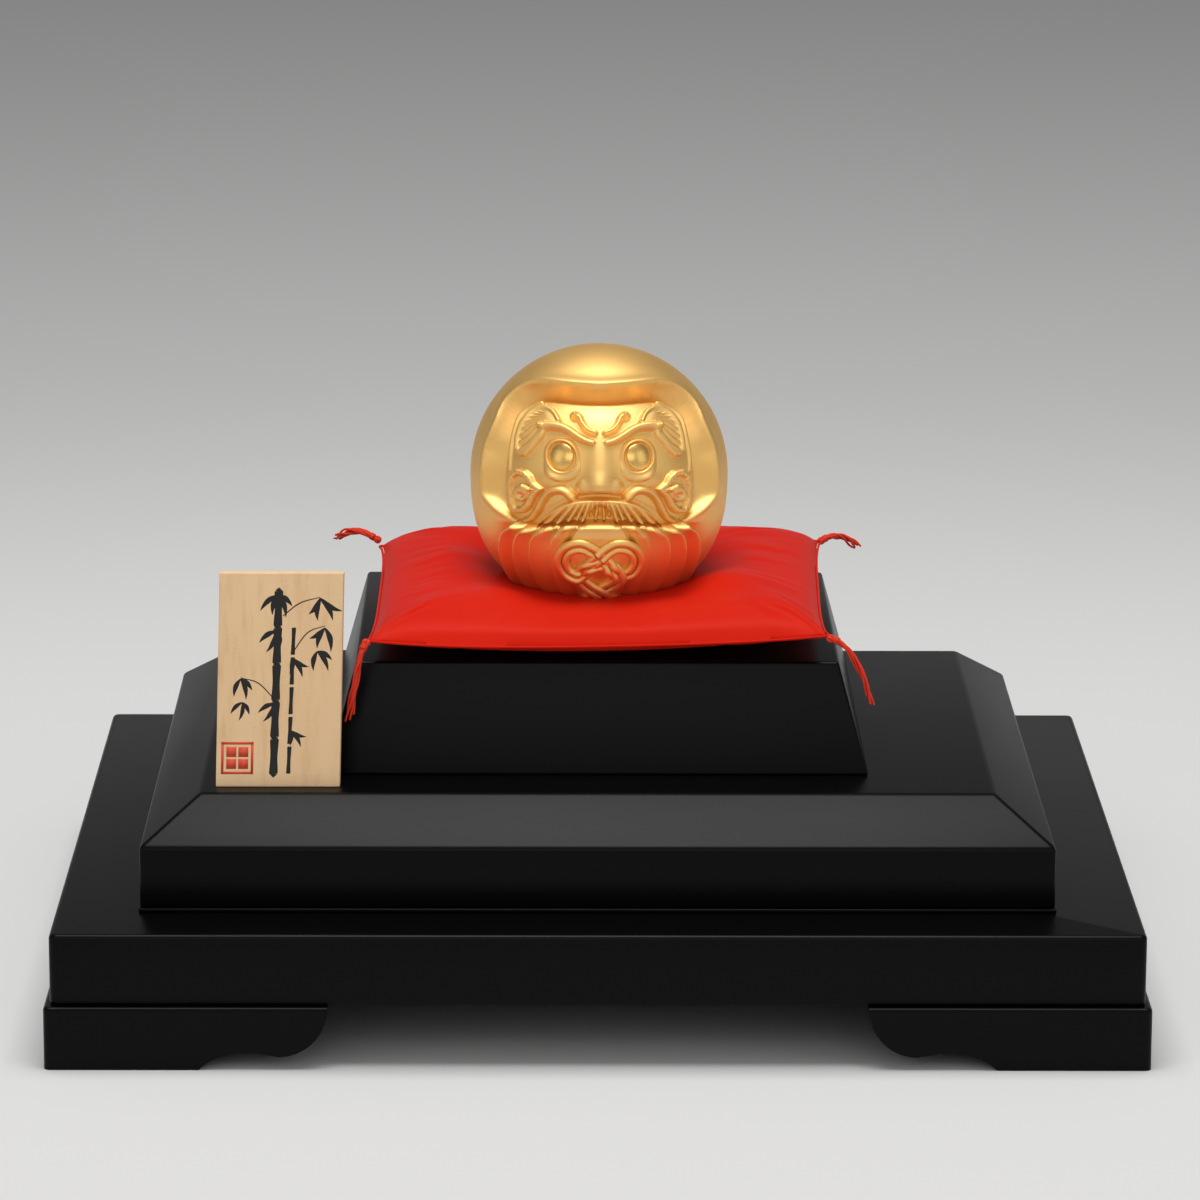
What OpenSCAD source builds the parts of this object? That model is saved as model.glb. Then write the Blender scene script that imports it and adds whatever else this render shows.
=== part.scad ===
// Golden daruma doll on a tasselled silk cushion, with its stepped lacquer stand
// and a small cypress name plaque.
// Millimetres, +Z up. The origin is on the tabletop under the middle of the stand,
// and the doll faces -Y.

/* [Stand] */
// Width of the lower board
board_w = 210; // [200:1:240]
// Depth of the lower board
board_d = 170; // [162:1:200]
// Thickness of the lower board
board_t = 14; // [12:0.5:18]
// Height of the bracket feet
foot_h = 12.4; // [11:0.2:16]
// How far the feet stand proud of the lower board
foot_proud = 1.6; // [0.8:0.2:3]
// Thickness of the wood that the feet are cut from
foot_t = 11; // [9:0.5:14]
// Length of a foot along the front or the back
foot_long = 54.4; // [50:0.2:70]
// Length of a foot along the side
foot_short = 46; // [44:0.2:60]
// Width of the bevelled middle board
mid_w = 177; // [170:1:190]
// Depth of the bevelled middle board
mid_d = 139; // [132:1:150]
// Height of the middle board's upright faces
mid_face_h = 13; // [11:0.5:16]
// Horizontal run of the middle board's bevel
bevel_run = 11.2; // [9:0.2:13]
// Rise of the middle board's bevel
bevel_rise = 8; // [6:0.5:10]
// Width of the pedestal's top
pedestal_w = 95; // [90:1:100]
// Depth of the pedestal's top
pedestal_d = 78.5; // [76:0.5:84]
// Height of the pedestal
pedestal_h = 21.6; // [18:0.2:26]
// How far each side of the pedestal slopes out to its foot
pedestal_slope = 5.9; // [4:0.1:7]

/* [Cushion] */
// Width of the cushion from corner to corner
cushion_w = 90; // [88:1:92]
// Depth of the cushion from corner to corner
cushion_d = 86; // [84:1:88]
// Height of the seam above the pedestal
seam_rise = 5.2; // [4.6:0.1:6]
// Height of the stuffed crown above the seam
crown = 6.6; // [5:0.2:8]
// Thickness of the silk with its lining
cloth = 0.5; // [0.3:0.1:0.8]
// Height of the doll's base above the pedestal, over the flattened stuffing
seat_rise = 4; // [3.5:0.1:5]

/* [Doll] */
// Radius of the doll at its widest
body_r = 26; // [25.5:0.1:27]
// Height of the body above its widest ring
body_up = 26; // [25:0.1:27]
// Drop of the round body below its widest ring, before the flat base
body_down = 26.4; // [25.8:0.1:27]
// Drop of the flat base below the widest ring
base_drop = 25.8; // [25:0.1:25.8]
// Wall thickness of the shells
wall = 1; // [0.6:0.1:1.2]
// Depth of the face panel below the hood
recess = 2.6; // [2:0.1:3]
// Radius of the round eyes
eye_r = 2.6; // [2.2:0.1:2.8]
// Height of the relief of the belly knot
knot_relief = 1; // [0.6:0.1:1.2]

/* [Plaque] */
// Width of the plaque
plaque_w = 24.2; // [20:0.1:26]
// Length of the plaque up its leaning face
plaque_l = 42; // [36:0.5:46]
// Thickness of the plaque
plaque_t = 4; // [3:0.5:5]
// How far the plaque leans back, in degrees
plaque_lean = 8.5; // [5:0.5:12]
// How far the plaque's sides run out of square, in degrees
plaque_skew = 1.2; // [0:0.1:2]

/* [Fasteners] */
// Radius of the wood screws' shanks
screw_r = 1.9; // [1.5:0.1:2.2]
// Radius of the dowels in the feet
dowel_r = 2; // [1.5:0.1:2.5]

/* [Hidden] */
$fn = 64;

lacquer = "#141210";
gold = "#d9a441";
silk = "#c8170f";
cypress = "#ddb688";
steel = "#a8a8a8";

far = 400;                                  // longer than anything in the model
edge_r = 1.4;                               // rounding of the boards' upright corners
board_z = foot_h;
mid_z = board_z + board_t;
ledge_z = mid_z + mid_face_h;
pedestal_z = ledge_z + bevel_rise;
top_z = pedestal_z + pedestal_h;
foot_w = board_w + 2 * foot_proud;
foot_d = board_d + 2 * foot_proud;
foot_curve = 24.8;                          // length of the shaped end of a foot
seam_z = top_z + seam_rise;
doll_x = 0.5;
up_power = 2;                               // how square the body's section is above the ring
down_power = 2.4;                           // and below it
doll_z = top_z + seat_rise + base_drop;
fit = 0.02;                                 // clearance round the screws and dowels
dowel_l = 14;
dowel_in_foot = 6;
board_screw_x = 58;
board_screw_y = 42;
board_screw_bite = 11;                      // depth of thread in the middle board
pedestal_screw_x = 28;
pedestal_screw_sink = 7;                    // counterbore in the middle board
pedestal_screw_bite = 11;

// ---------------------------------------------------------------- wood

// Upright block with rounded vertical corners, centred on the origin in plan.
module rounded_block(w, d, h, r) {
    linear_extrude(h) {
        square([w - 2 * r, d], center = true);
        square([w, d - 2 * r], center = true);
        for (x = [-1, 1], y = [-1, 1])
            translate([x * (w / 2 - r), y * (d / 2 - r)]) circle(r);
    }
}

// Block whose section is the same mirrored outline seen from the front and from the side.
// Each row of the outline is [how far it stands in from the full width, height].
module stepped_block(w, d, rows) {
    intersection() {
        rotate([90, 0, 0]) linear_extrude(far, center = true) mirrored_outline(w, rows);
        rotate([90, 0, 90]) linear_extrude(far, center = true) mirrored_outline(d, rows);
    }
}

module mirrored_outline(w, rows) {
    last = len(rows) - 1;
    polygon([
        for (r = rows) [w / 2 - r[0], r[1]],
        for (i = [last:-1:0]) [rows[i][0] - w / 2, rows[i][1]]
    ]);
}

module at_four(x, y) {
    for (sx = [-1, 1], sy = [-1, 1]) translate([sx * x, sy * y, 0]) children();
}

module lower_board() {
    color(lacquer) difference() {
        translate([0, 0, board_z]) rounded_block(board_w, board_d, board_t, edge_r);
        foot_dowel_places() cylinder(h = dowel_l - dowel_in_foot + 0.5, r = dowel_r + fit);
        at_four(board_screw_x, board_screw_y) translate([0, 0, board_z]) {
            translate([0, 0, -0.1]) cylinder(h = board_t + 0.2, r = screw_r + 0.3);
            screw_head_seat();
        }
    }
}

module middle_board() {
    color(lacquer) difference() {
        translate([0, 0, mid_z])
            stepped_block(mid_w, mid_d, [
                [0, 0], [0, mid_face_h], [bevel_run, mid_face_h + bevel_rise]
            ]);
        at_four(board_screw_x, board_screw_y)
            translate([0, 0, mid_z - 0.1]) cylinder(h = board_screw_bite + 0.1, r = screw_r + fit);
        pedestal_screw_places() {
            translate([0, 0, -0.1]) cylinder(h = pedestal_screw_sink + 0.1, r = 2 * screw_r + 0.6);
            cylinder(h = mid_face_h + bevel_rise + 0.1, r = screw_r + 0.3);
        }
    }
}

module pedestal_block() {
    color(lacquer) difference() {
        translate([0, 0, pedestal_z])
            stepped_block(pedestal_w + 2 * pedestal_slope, pedestal_d + 2 * pedestal_slope,
                [[0, 0], [pedestal_slope, pedestal_h]]);
        pedestal_screw_places()
            cylinder(h = mid_face_h + bevel_rise + pedestal_screw_bite, r = screw_r + fit);
    }
}

module pedestal_screw_places() {
    for (x = [-1, 1]) translate([x * pedestal_screw_x, 0, mid_z]) children();
}

// ---------------------------------------------------------------- feet

function lerp(a, b, t) = a + (b - a) * t;
function bezier(a, b, c, t) = lerp(lerp(a, b, t), lerp(b, c, t), t);

// Outline of a foot along its length: a flat sole, a shallow cove, then a rounded brow.
function foot_outline(l) =
    let (
        start = l - foot_curve,
        brow_x = l - 9.4,
        brow_z = 2.6,
        cove = [for (i = [0:8])
            bezier([start, 0], [start + 5, 5], [brow_x, brow_z], i / 8)],
        brow = [for (i = [1:10]) let (a = 90 * i / 10)
            [brow_x + (l - brow_x) * sin(a), foot_h - (foot_h - brow_z) * cos(a)]]
    )
    concat([[0, 0]], cove, brow, [[0, foot_h]]);

// One mitred half of the foot at the corner where x and y are most negative.
// along = 0 lies along the front, along = 1 along the side.
module foot_half(l, along) {
    intersection() {
        if (along == 0)
            translate([-foot_w / 2, -foot_d / 2 + foot_t, 0])
                rotate([90, 0, 0]) linear_extrude(foot_t) polygon(foot_outline(l));
        else
            translate([-foot_w / 2, -foot_d / 2, 0])
                rotate([90, 0, 90]) linear_extrude(foot_t) polygon(foot_outline(l));
        // the half of the corner on this side of the mitre
        translate([-foot_w / 2, -foot_d / 2, -1])
            linear_extrude(foot_h + 2)
                polygon(along == 0
                    ? [[0, 0], [far, 0], [far, far]]
                    : [[0, 0], [0, far], [far, far]]);
        translate([0, 0, -1]) rounded_block(foot_w, foot_d, foot_h + 2, edge_r);
    }
}

module foot(side, end, along) {
    l = along == 0 ? foot_long : foot_short;
    color(lacquer) difference() {
        scale([side, end, 1]) foot_half(l, along);
        foot_dowel_places() translate([0, 0, -dowel_in_foot])
            cylinder(h = dowel_in_foot + 0.1, r = dowel_r + fit);
    }
}

module foot_dowel_places() {
    for (sx = [-1, 1], sy = [-1, 1]) {
        translate([sx * (foot_w / 2 - 24), sy * (foot_d / 2 - foot_t / 2), board_z]) children();
        translate([sx * (foot_w / 2 - foot_t / 2), sy * (foot_d / 2 - 22), board_z]) children();
    }
}

module foot_dowels() {
    color(cypress) foot_dowel_places()
        translate([0, 0, -dowel_in_foot]) cylinder(h = dowel_l, r = dowel_r);
}

// ---------------------------------------------------------------- screws

head_r = 3.6;
head_h = 2.6;

module screw_head_seat() {
    translate([0, 0, -0.1]) cylinder(h = 0.4, r = head_r);
    translate([0, 0, 0.3]) cylinder(h = head_h, r1 = head_r, r2 = screw_r);
}

// Countersunk wood screw whose head lies at z = 0 and whose point is at z = l.
module screw(l) {
    difference() {
        union() {
            cylinder(h = head_h, r1 = head_r, r2 = screw_r);
            translate([0, 0, head_h]) cylinder(h = l - head_h - 2, r = screw_r);
            translate([0, 0, l - 2]) cylinder(h = 2, r1 = screw_r, r2 = 0.3);
        }
        for (a = [0, 90]) rotate(a) translate([-2.2, -0.4, -0.1]) cube([4.4, 0.8, 1.6]);
    }
}

module board_screws() {
    color(steel) at_four(board_screw_x, board_screw_y)
        translate([0, 0, board_z + 0.3]) screw(board_t + board_screw_bite - 0.5);
}

module pedestal_screws() {
    color(steel) pedestal_screw_places()
        translate([0, 0, pedestal_screw_sink - head_h])
            screw(mid_face_h + bevel_rise + pedestal_screw_bite - pedestal_screw_sink + head_h - 0.2);
}

// ---------------------------------------------------------------- cushion

GRID = 18;                                  // cells along each side of the cushion's surfaces
side_pull = 1.6;                            // how far the stuffing pulls each side in
dent_inner = 17;                            // radius within which the silk follows the doll
dent_outer = 40;                            // radius where the cushion is at its full height
dent_y = -1.5;                              // the cushion is fuller behind the doll
seat_gap = 0.6;                             // air between the doll and the silk

function grid_xy(i, j) =
    let (s = 2 * i / GRID - 1, t = 2 * j / GRID - 1)
    [s * (cushion_w / 2 - side_pull * (1 - t * t)), t * (cushion_d / 2 - side_pull * (1 - s * s))];

// Fullness of the stuffing, from 0 on the seam to 1 in the middle.
function fullness(i, j) =
    let (s = 2 * i / GRID - 1, t = 2 * j / GRID - 1)
    sqrt(max(0, (1 - pow(s, 4)) * (1 - pow(t, 4))));

function smooth(t) = let (u = min(1, max(0, t))) u * u * (3 - 2 * u);

// Height of the doll's underside, knot and all, at a distance d from its axis.
function underside(d) = max(doll_z - base_drop,
    doll_z - (body_down + knot_relief)
        * pow(1 - pow(d / (body_r + knot_relief), down_power), 1 / down_power));

function dent_top(p) =
    let (d = norm([p[0] - doll_x, p[1]]), e = norm([p[0] - doll_x, p[1] - dent_y]))
    d < dent_inner ? underside(d) - seat_gap
    : lerp(underside(dent_inner) - seat_gap, seam_z + crown,
        smooth((e - dent_inner) / (dent_outer - dent_inner)));

function silk_top(i, j) = min(seam_z + crown * fullness(i, j) + cloth, dent_top(grid_xy(i, j)));
function wadding_top(i, j) = silk_top(i, j) - cloth;
function wadding_bottom(i, j) =
    max(top_z + cloth, seam_z - (seam_rise + 1.4) * pow(fullness(i, j), 2));
function silk_bottom(i, j) = wadding_bottom(i, j) - cloth;

// Heights of the four layers, from the bottom of the lower panel to the top of the upper one.
function layer_z(layer, i, j) =
    layer == 0 ? silk_bottom(i, j) : layer == 1 ? wadding_bottom(i, j)
    : layer == 2 ? wadding_top(i, j) : silk_top(i, j);

// Points of one layer. The outermost rows of cells are left off where inset is 1.
function layer_points(layer, inset) =
    [for (i = [inset:GRID - inset], j = [inset:GRID - inset])
        let (p = grid_xy(i, j)) [p[0], p[1], layer_z(layer, i, j)]];

// Faces of a closed slab between two layers of m cells a side, the upper layer listed first.
function slab_faces(m) =
    let (w = m + 1, n = w * w)
    concat(
        [for (i = [0:m - 1], j = [0:m - 1]) let (a = i * w + j)
            each [[a, a + w + 1, a + w], [a, a + 1, a + w + 1]]],
        [for (i = [0:m - 1], j = [0:m - 1]) let (a = n + i * w + j)
            each [[a, a + w, a + w + 1], [a, a + w + 1, a + 1]]],
        [for (k = [0:m - 1])
            each [[k * w, k * w + w, n + k * w + w, n + k * w],
                  [k * w + w + m, k * w + m, n + k * w + m, n + k * w + w + m],
                  [k + 1, k, n + k, n + k + 1],
                  [m * w + k, m * w + k + 1, n + m * w + k + 1, n + m * w + k]]]
    );

module slab(upper, lower, inset) {
    polyhedron(
        points = concat(layer_points(upper, inset), layer_points(lower, inset)),
        faces = slab_faces(GRID - 2 * inset));
}

module cushion_top_panel() { color(silk) slab(3, 2, 0); }
module cushion_bottom_panel() { color(silk) slab(1, 0, 0); }

// The wadding stops short of the seam, where the two panels meet.
module cushion_wadding() { color("white") slab(2, 1, 1); }

// ---------------------------------------------------------------- tassels

TASSEL_RINGS = 12;
TASSEL_SIDES = 8;

// Radius of a tassel along its length: a bound knot, a neck, then the hanging threads.
function tassel_r(t) =
    t < 0.12 ? 0.5 + 0.9 * sin(180 * t / 0.12)
    : lerp(0.75, 1.15, sin(90 * min(1, (t - 0.12) / 0.5))) - 0.7 * pow(t, 6);

// Tassel along a curve from its root, through a bend, to its tip.
module tassel(root, bend, tip) {
    path = [for (i = [0:TASSEL_RINGS]) bezier(root, bend, tip, i / TASSEL_RINGS)];
    rings = [for (i = [0:TASSEL_RINGS])
        let (
            t = i / TASSEL_RINGS,
            ahead = path[min(i + 1, TASSEL_RINGS)] - path[max(i - 1, 0)],
            along = ahead / norm(ahead),
            across = cross(along, [0, 1, 0.01]) / norm(cross(along, [0, 1, 0.01])),
            over = cross(along, across)
        )
        for (k = [0:TASSEL_SIDES - 1])
            let (a = 360 * k / TASSEL_SIDES)
            path[i] + tassel_r(t) * (cos(a) * across + sin(a) * over)];
    last = TASSEL_RINGS * TASSEL_SIDES;
    color(silk) polyhedron(points = rings, faces = concat(
        [[for (k = [0:TASSEL_SIDES - 1]) k]],
        [[for (k = [TASSEL_SIDES - 1:-1:0]) last + k]],
        [for (i = [0:TASSEL_RINGS - 1], k = [0:TASSEL_SIDES - 1])
            let (a = i * TASSEL_SIDES, b = (i + 1) * TASSEL_SIDES, m = (k + 1) % TASSEL_SIDES)
            each [[a + k, b + k, a + m], [a + m, b + k, b + m]]]
    ));
}

corner_x = cushion_w / 2;
corner_y = cushion_d / 2;

tassel_start = 0.3;                         // distance of each root beyond the corner's point

module tassel_front_left() {
    tassel([-corner_x - tassel_start, -corner_y - tassel_start, seam_z],
        [-corner_x - 2.5, -corner_y - 3.5, seam_z - 3],
        [-corner_x - 3.4, -corner_y - 3, seam_z - 15.5]);
}

module tassel_front_right() {
    tassel([corner_x + tassel_start, -corner_y - tassel_start, seam_z],
        [corner_x + 6, -corner_y - 2, seam_z],
        [corner_x + 9, -corner_y - 1, seam_z - 13.5]);
}

module tassel_rear_left() {
    tassel([-corner_x - tassel_start, corner_y + tassel_start, seam_z],
        [-corner_x - 6, corner_y + 4, seam_z + 3.5],
        [-corner_x - 10, corner_y + 6, seam_z - 2]);
}

module tassel_rear_right() {
    tassel([corner_x + tassel_start, corner_y + tassel_start, seam_z],
        [corner_x + 5, corner_y + 3, seam_z + 3],
        [corner_x + 9.6, corner_y + 5, seam_z - 3]);
}

// ---------------------------------------------------------------- doll
// These modules are drawn about the middle of the doll's widest ring.

// Section of the body, grown or shrunk by off. Its upper and lower halves meet at the widest ring.
function body_section(off) = concat(
    [for (a = [-90:6:0]) body_point(a, off, body_down, down_power)],
    [for (a = [6:6:90]) body_point(a, off, body_up, up_power)]
);
function body_point(a, off, height, power) = [
    abs(a) == 90 ? 0 : (body_r + off) * pow(cos(a), 2 / power),
    sign(a) * (height + off) * pow(abs(sin(a)), 2 / power)
];

module body(off) {
    rotate_extrude() polygon(body_section(off));
}

module half_space(front) {
    translate([-far / 2, front ? -far : 0, -far / 2]) cube([far, far, far]);
}

// Raises the flat outline given as children from one shell of the body to another.
module relief(low, high) {
    intersection() {
        rotate([90, 0, 0]) linear_extrude(far) children();
        difference() {
            body(high);
            body(low);
        }
    }
}

// Outline of the hood's opening, grown by off.
opening_w = 37.4;
opening_top = 17.6;
opening_bottom = -6;
opening_r = 6;

module opening(off) {
    w = opening_w + 2 * off;
    h = opening_top - opening_bottom + 2 * off;
    r = opening_r + off;
    translate([0, (opening_top + opening_bottom) / 2]) {
        square([w - 2 * r, h], center = true);
        square([w, h - 2 * r], center = true);
        for (x = [-1, 1], y = [-1, 1]) translate([x * (w / 2 - r), y * (h / 2 - r)]) circle(r);
    }
}

// Rolled edge of the hood, above and beside the face.
module hood_rim() {
    intersection() {
        opening(rim_w);
        translate([-far / 2, opening_bottom]) square(far);
    }
}

base_hole_r = 9;
base_seat_h = 1.4;
rim_w = 3;                                  // width of the rolled edge of the hood
rim_h = 0.4;

// The whole hollow casting, before it is parted into a front and a rear shell.
module casting() {
    difference() {
        union() {
            difference() {
                body(0);
                body(-wall);
            }
            relief(-recess - wall, 0) opening(wall);
            relief(-wall / 2, rim_h) hood_rim();
            intersection() {
                body(0);
                translate([0, 0, -base_drop]) cylinder(h = base_seat_h, r = base_hole_r + 2);
            }
        }
        relief(-recess, 2) opening(0);
        relief(-wall / 2, 1) robe_grooves();
        translate([0, 0, -base_drop - far / 2]) cube([far, far, far], center = true);
        translate([0, 0, -base_drop - 1]) cylinder(h = base_seat_h + 2, r = base_hole_r);
    }
}

FLUTES = 5;                                 // folds of the robe on each side of the belly

// Grooves between the robe's folds, which run together towards the base.
module robe_grooves() {
    for (side = [-1, 1], k = [0:FLUTES]) {
        head = [side * (6.6 + 2.9 * k), -8.6 - 0.4 * k];
        tail = [side * (3.4 + 1.7 * k), -23.6 + 0.9 * k];
        polygon([head - [0.4, 0], head + [0.4, 0], tail + [0.25, 0], tail - [0.25, 0]]);
    }
}

eye_turn = 19.5;                            // bearing of each eye from straight ahead
eye_lift = 18.7;                            // elevation of the eyes

// Puts its children on the face panel at an eye, with their z axis straight out of the panel.
module eye_place(side) {
    rotate([90 - eye_lift, 0, side * eye_turn]) translate([0, 0, body_r - recess]) children();
}

// Crane brow on the +X side: a beak at the bridge of the nose and a fanned tail at the temple.
module brow_outline() {
    polygon([
        [1, 12.2], [4.4, 14.6], [7.9, 13.9], [9.6, 15.7], [12.1, 16.2], [15, 13.5],
        [16, 8.5], [15, 6.3], [12.1, 8.4], [9.8, 11.7], [6.8, 12.5], [2.9, 10.8], [1.2, 10.2]
    ]);
}

// Tortoise whorl on the +X cheek: a ring with a boss in it.
module whorl_outline() {
    translate([14.2, 0.1]) {
        difference() {
            circle(4.2);
            circle(2.7);
        }
        circle(1.5);
    }
}

// Moustache on the +X side: ridges that fan out from under the nose.
module moustache_outline() {
    for (k = [0:3])
        polygon([[0.8 + 1.1 * k, -0.2], [1.6 + 1.1 * k, -0.2], [3.8 + 2.8 * k, -5.6], [1.8 + 2.8 * k, -5.6]]);
}

face_relief = 1.3;                          // height of the face's relief above its panel

// Everything that stands up from the face panel.
module features() {
    for (side = [0, 1]) {
        relief(-recess - wall / 2, face_relief - recess) mirror([side, 0]) brow_outline();
        relief(-recess - wall / 2, face_relief - recess) mirror([side, 0]) whorl_outline();
        relief(-recess - wall / 2, face_relief - recess) mirror([side, 0]) moustache_outline();
    }
    for (side = [-1, 1]) {
        eye_place(side) translate([0, 0, -0.8]) cylinder(h = 1.8, r = eye_r + 0.9);
        translate([side * 3, -21.9, 1.9]) sphere(1.8);
    }
    translate([0, -22.3, 7.4]) rotate([8, 0, 0]) cylinder(h = 10, r1 = 2.1, r2 = 1.3, center = true);
    translate([0, -22.9, 2.8]) sphere(2.6);
}

module doll_front_shell() {
    color(gold) at_doll() difference() {
        union() {
            intersection() {
                casting();
                half_space(true);
            }
            features();
        }
        for (side = [-1, 1])
            eye_place(side) translate([0, 0, -0.5]) cylinder(h = 10, r = eye_r);
    }
}

module doll_rear_shell() {
    color(gold) at_doll() intersection() {
        casting();
        half_space(false);
    }
}

module doll_eye(side) {
    color(gold) at_doll() eye_place(side) intersection() {
        translate([0, 0, -0.5]) cylinder(h = 4, r = eye_r);
        translate([0, 0, -2.6]) sphere(4.2);
    }
}

module doll_base_plate() {
    color(gold) at_doll() translate([0, 0, -base_drop]) cylinder(h = base_seat_h, r = base_hole_r);
}

// Low dome of ballast that keeps the doll upright, lying on the base seat.
module doll_base_weight() {
    color(steel) at_doll() translate([0, 0, base_seat_h - base_drop]) intersection() {
        cylinder(h = 5, r = base_hole_r - 0.2);
        translate([0, 0, -7]) sphere(12);
    }
}

// Flat outline of a knot of cord: two side loops, a lower loop and two tails.
module knot_outline() {
    loop_r = 3.3;
    cord = 1.2;
    for (c = [[-3.6, -12.2], [3.6, -12.2], [0, -15.8]])
        translate(c) difference() {
            circle(loop_r + cord / 2);
            circle(loop_r - cord / 2);
        }
    for (side = [-1, 1])
        polygon([
            [side * 0.3, -18.6], [side * 1.6, -18.8], [side * 2.9, -21.2],
            [side * 5.6, -23.2], [side * 4.6, -24], [side * 1.8, -22]
        ]);
}

module belly_knot() {
    color(gold) at_doll() relief(0, knot_relief) knot_outline();
}

module at_doll() {
    translate([doll_x, 0, doll_z]) children();
}

// ---------------------------------------------------------------- plaque

plaque_x = -62.4;                           // middle of the plaque's foot
plaque_y = -54.2;                           // its front edge, just behind the bevel
prop_w = 9;
prop_h = 15;
prop_foot = 10;

foot_run = plaque_t / cos(plaque_lean);

// Section of the plaque seen from the side, standing on a level sole.
module plaque_section() {
    up = [sin(plaque_lean), cos(plaque_lean)];
    back = [cos(plaque_lean), -sin(plaque_lean)];
    polygon([[0, 0], plaque_l * up, plaque_l * up + plaque_t * back, [foot_run, 0]]);
}

module plaque_board() {
    lift = plaque_l * cos(plaque_lean);
    shift = lift * tan(plaque_skew);
    color(cypress) translate([plaque_x, plaque_y, pedestal_z]) intersection() {
        rotate([90, 0, 90]) linear_extrude(far, center = true) plaque_section();
        rotate([90, 0, 0]) linear_extrude(far, center = true)
            polygon([
                [-plaque_w / 2, 0], [plaque_w / 2, 0],
                [plaque_w / 2 + shift, lift], [shift - plaque_w / 2, lift]
            ]);
    }
}

// Wedge glued behind the plaque, which holds its lean.
module plaque_prop() {
    color(cypress) translate([plaque_x, plaque_y, pedestal_z])
        rotate([90, 0, 90]) linear_extrude(prop_w, center = true)
            polygon([
                [foot_run, 0],
                [foot_run + prop_h * tan(plaque_lean), prop_h],
                [foot_run + prop_h * tan(plaque_lean) + 1.5, prop_h],
                [foot_run + prop_foot, 1.5], [foot_run + prop_foot, 0]
            ]);
}

// ---------------------------------------------------------------- nodes

lower_board();
middle_board();
pedestal_block();
foot(1, 1, 0);  // foot_front_left_long
foot(1, 1, 1);  // foot_front_left_short
foot(-1, 1, 0);  // foot_front_right_long
foot(-1, 1, 1);  // foot_front_right_short
foot(1, -1, 0);  // foot_rear_left_long
foot(1, -1, 1);  // foot_rear_left_short
foot(-1, -1, 0);  // foot_rear_right_long
foot(-1, -1, 1);  // foot_rear_right_short
foot_dowels();
board_screws();
pedestal_screws();
cushion_top_panel();
cushion_bottom_panel();
cushion_wadding();
tassel_front_left();
tassel_front_right();
tassel_rear_left();
tassel_rear_right();
doll_front_shell();
doll_rear_shell();
doll_base_plate();
doll_base_weight();
doll_eye(-1);  // doll_left_eye
doll_eye(1);  // doll_right_eye
belly_knot();
plaque_board();
plaque_prop();
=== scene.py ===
# %% [markdown]
# # A golden daruma on its display stand
#
# A daruma is a round tumbler figure of a hooded, bearded sage. This one is cast in gold and sits on a red silk
# cushion, on a stand of black lacquer, with a small plaque of cypress wood beside it. The CAD model gives the
# places and main sizes. This notebook gives each piece its real surface: the chased face and the folds of the robe, the
# sewn and stuffed cushion, the loose threads of the tassels, the soft edges of lacquered wood.

# %% Load the frame
import math

import bmesh
import bpy
import numpy as np
from mathutils import Matrix, Vector


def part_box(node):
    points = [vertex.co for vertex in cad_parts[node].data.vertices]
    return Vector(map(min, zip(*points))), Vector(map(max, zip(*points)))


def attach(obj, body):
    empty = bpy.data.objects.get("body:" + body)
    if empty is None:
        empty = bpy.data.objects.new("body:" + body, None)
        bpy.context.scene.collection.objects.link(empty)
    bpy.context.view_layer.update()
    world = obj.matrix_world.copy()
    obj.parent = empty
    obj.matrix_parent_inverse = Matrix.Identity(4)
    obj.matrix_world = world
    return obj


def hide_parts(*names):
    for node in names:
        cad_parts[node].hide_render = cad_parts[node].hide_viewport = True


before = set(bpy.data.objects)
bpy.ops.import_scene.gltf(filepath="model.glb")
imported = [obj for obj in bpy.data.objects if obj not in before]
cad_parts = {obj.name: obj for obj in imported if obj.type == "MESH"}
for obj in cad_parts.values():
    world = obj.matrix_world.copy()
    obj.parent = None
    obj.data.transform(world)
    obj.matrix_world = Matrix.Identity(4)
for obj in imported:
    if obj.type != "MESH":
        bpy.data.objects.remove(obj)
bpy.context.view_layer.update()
MM = 0.001

# %% [markdown]
# ## Measures
#
# The boxes of the CAD nodes say where each board, the doll, the cushion's outline and the plaque's foot are, so a
# change to those in the CAD model moves the pieces here with it. The rest is given further down: the lines
# of the face, the height and crown of the cushion, the routes of the tassels, and the plaque's width and lean.

# %% Places taken from the frame
FOOT_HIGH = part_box("foot_front_left_long")[1]
LOWER_LOW, LOWER_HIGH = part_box("lower_board")
MIDDLE_LOW, MIDDLE_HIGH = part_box("middle_board")
PEDESTAL_LOW, PEDESTAL_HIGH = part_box("pedestal_block")
SILK_LOW, SILK_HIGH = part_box("cushion_top_panel")
SHELL_LOW, SHELL_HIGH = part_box("doll_rear_shell")
PLAQUE_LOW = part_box("plaque_board")[0]

BODY_R = (SHELL_HIGH[0] - SHELL_LOW[0]) / 2
DOLL = Vector(((SHELL_LOW[0] + SHELL_HIGH[0]) / 2, 0, SHELL_HIGH[2] - BODY_R))
BASE_DROP = DOLL.z - SHELL_LOW[2]
SEAT_Z = PEDESTAL_HIGH[2]
print(f"doll: radius {BODY_R / MM:.1f} mm, centre {DOLL.z / MM:.1f} mm above the table")

# %% [markdown]
# ## Shader maths
#
# A finish is easier to read as an expression than as a list of linked nodes. Value wraps the output of a node and
# answers to + and *. Finish holds one material, and its node method adds any other kind of node.

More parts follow.
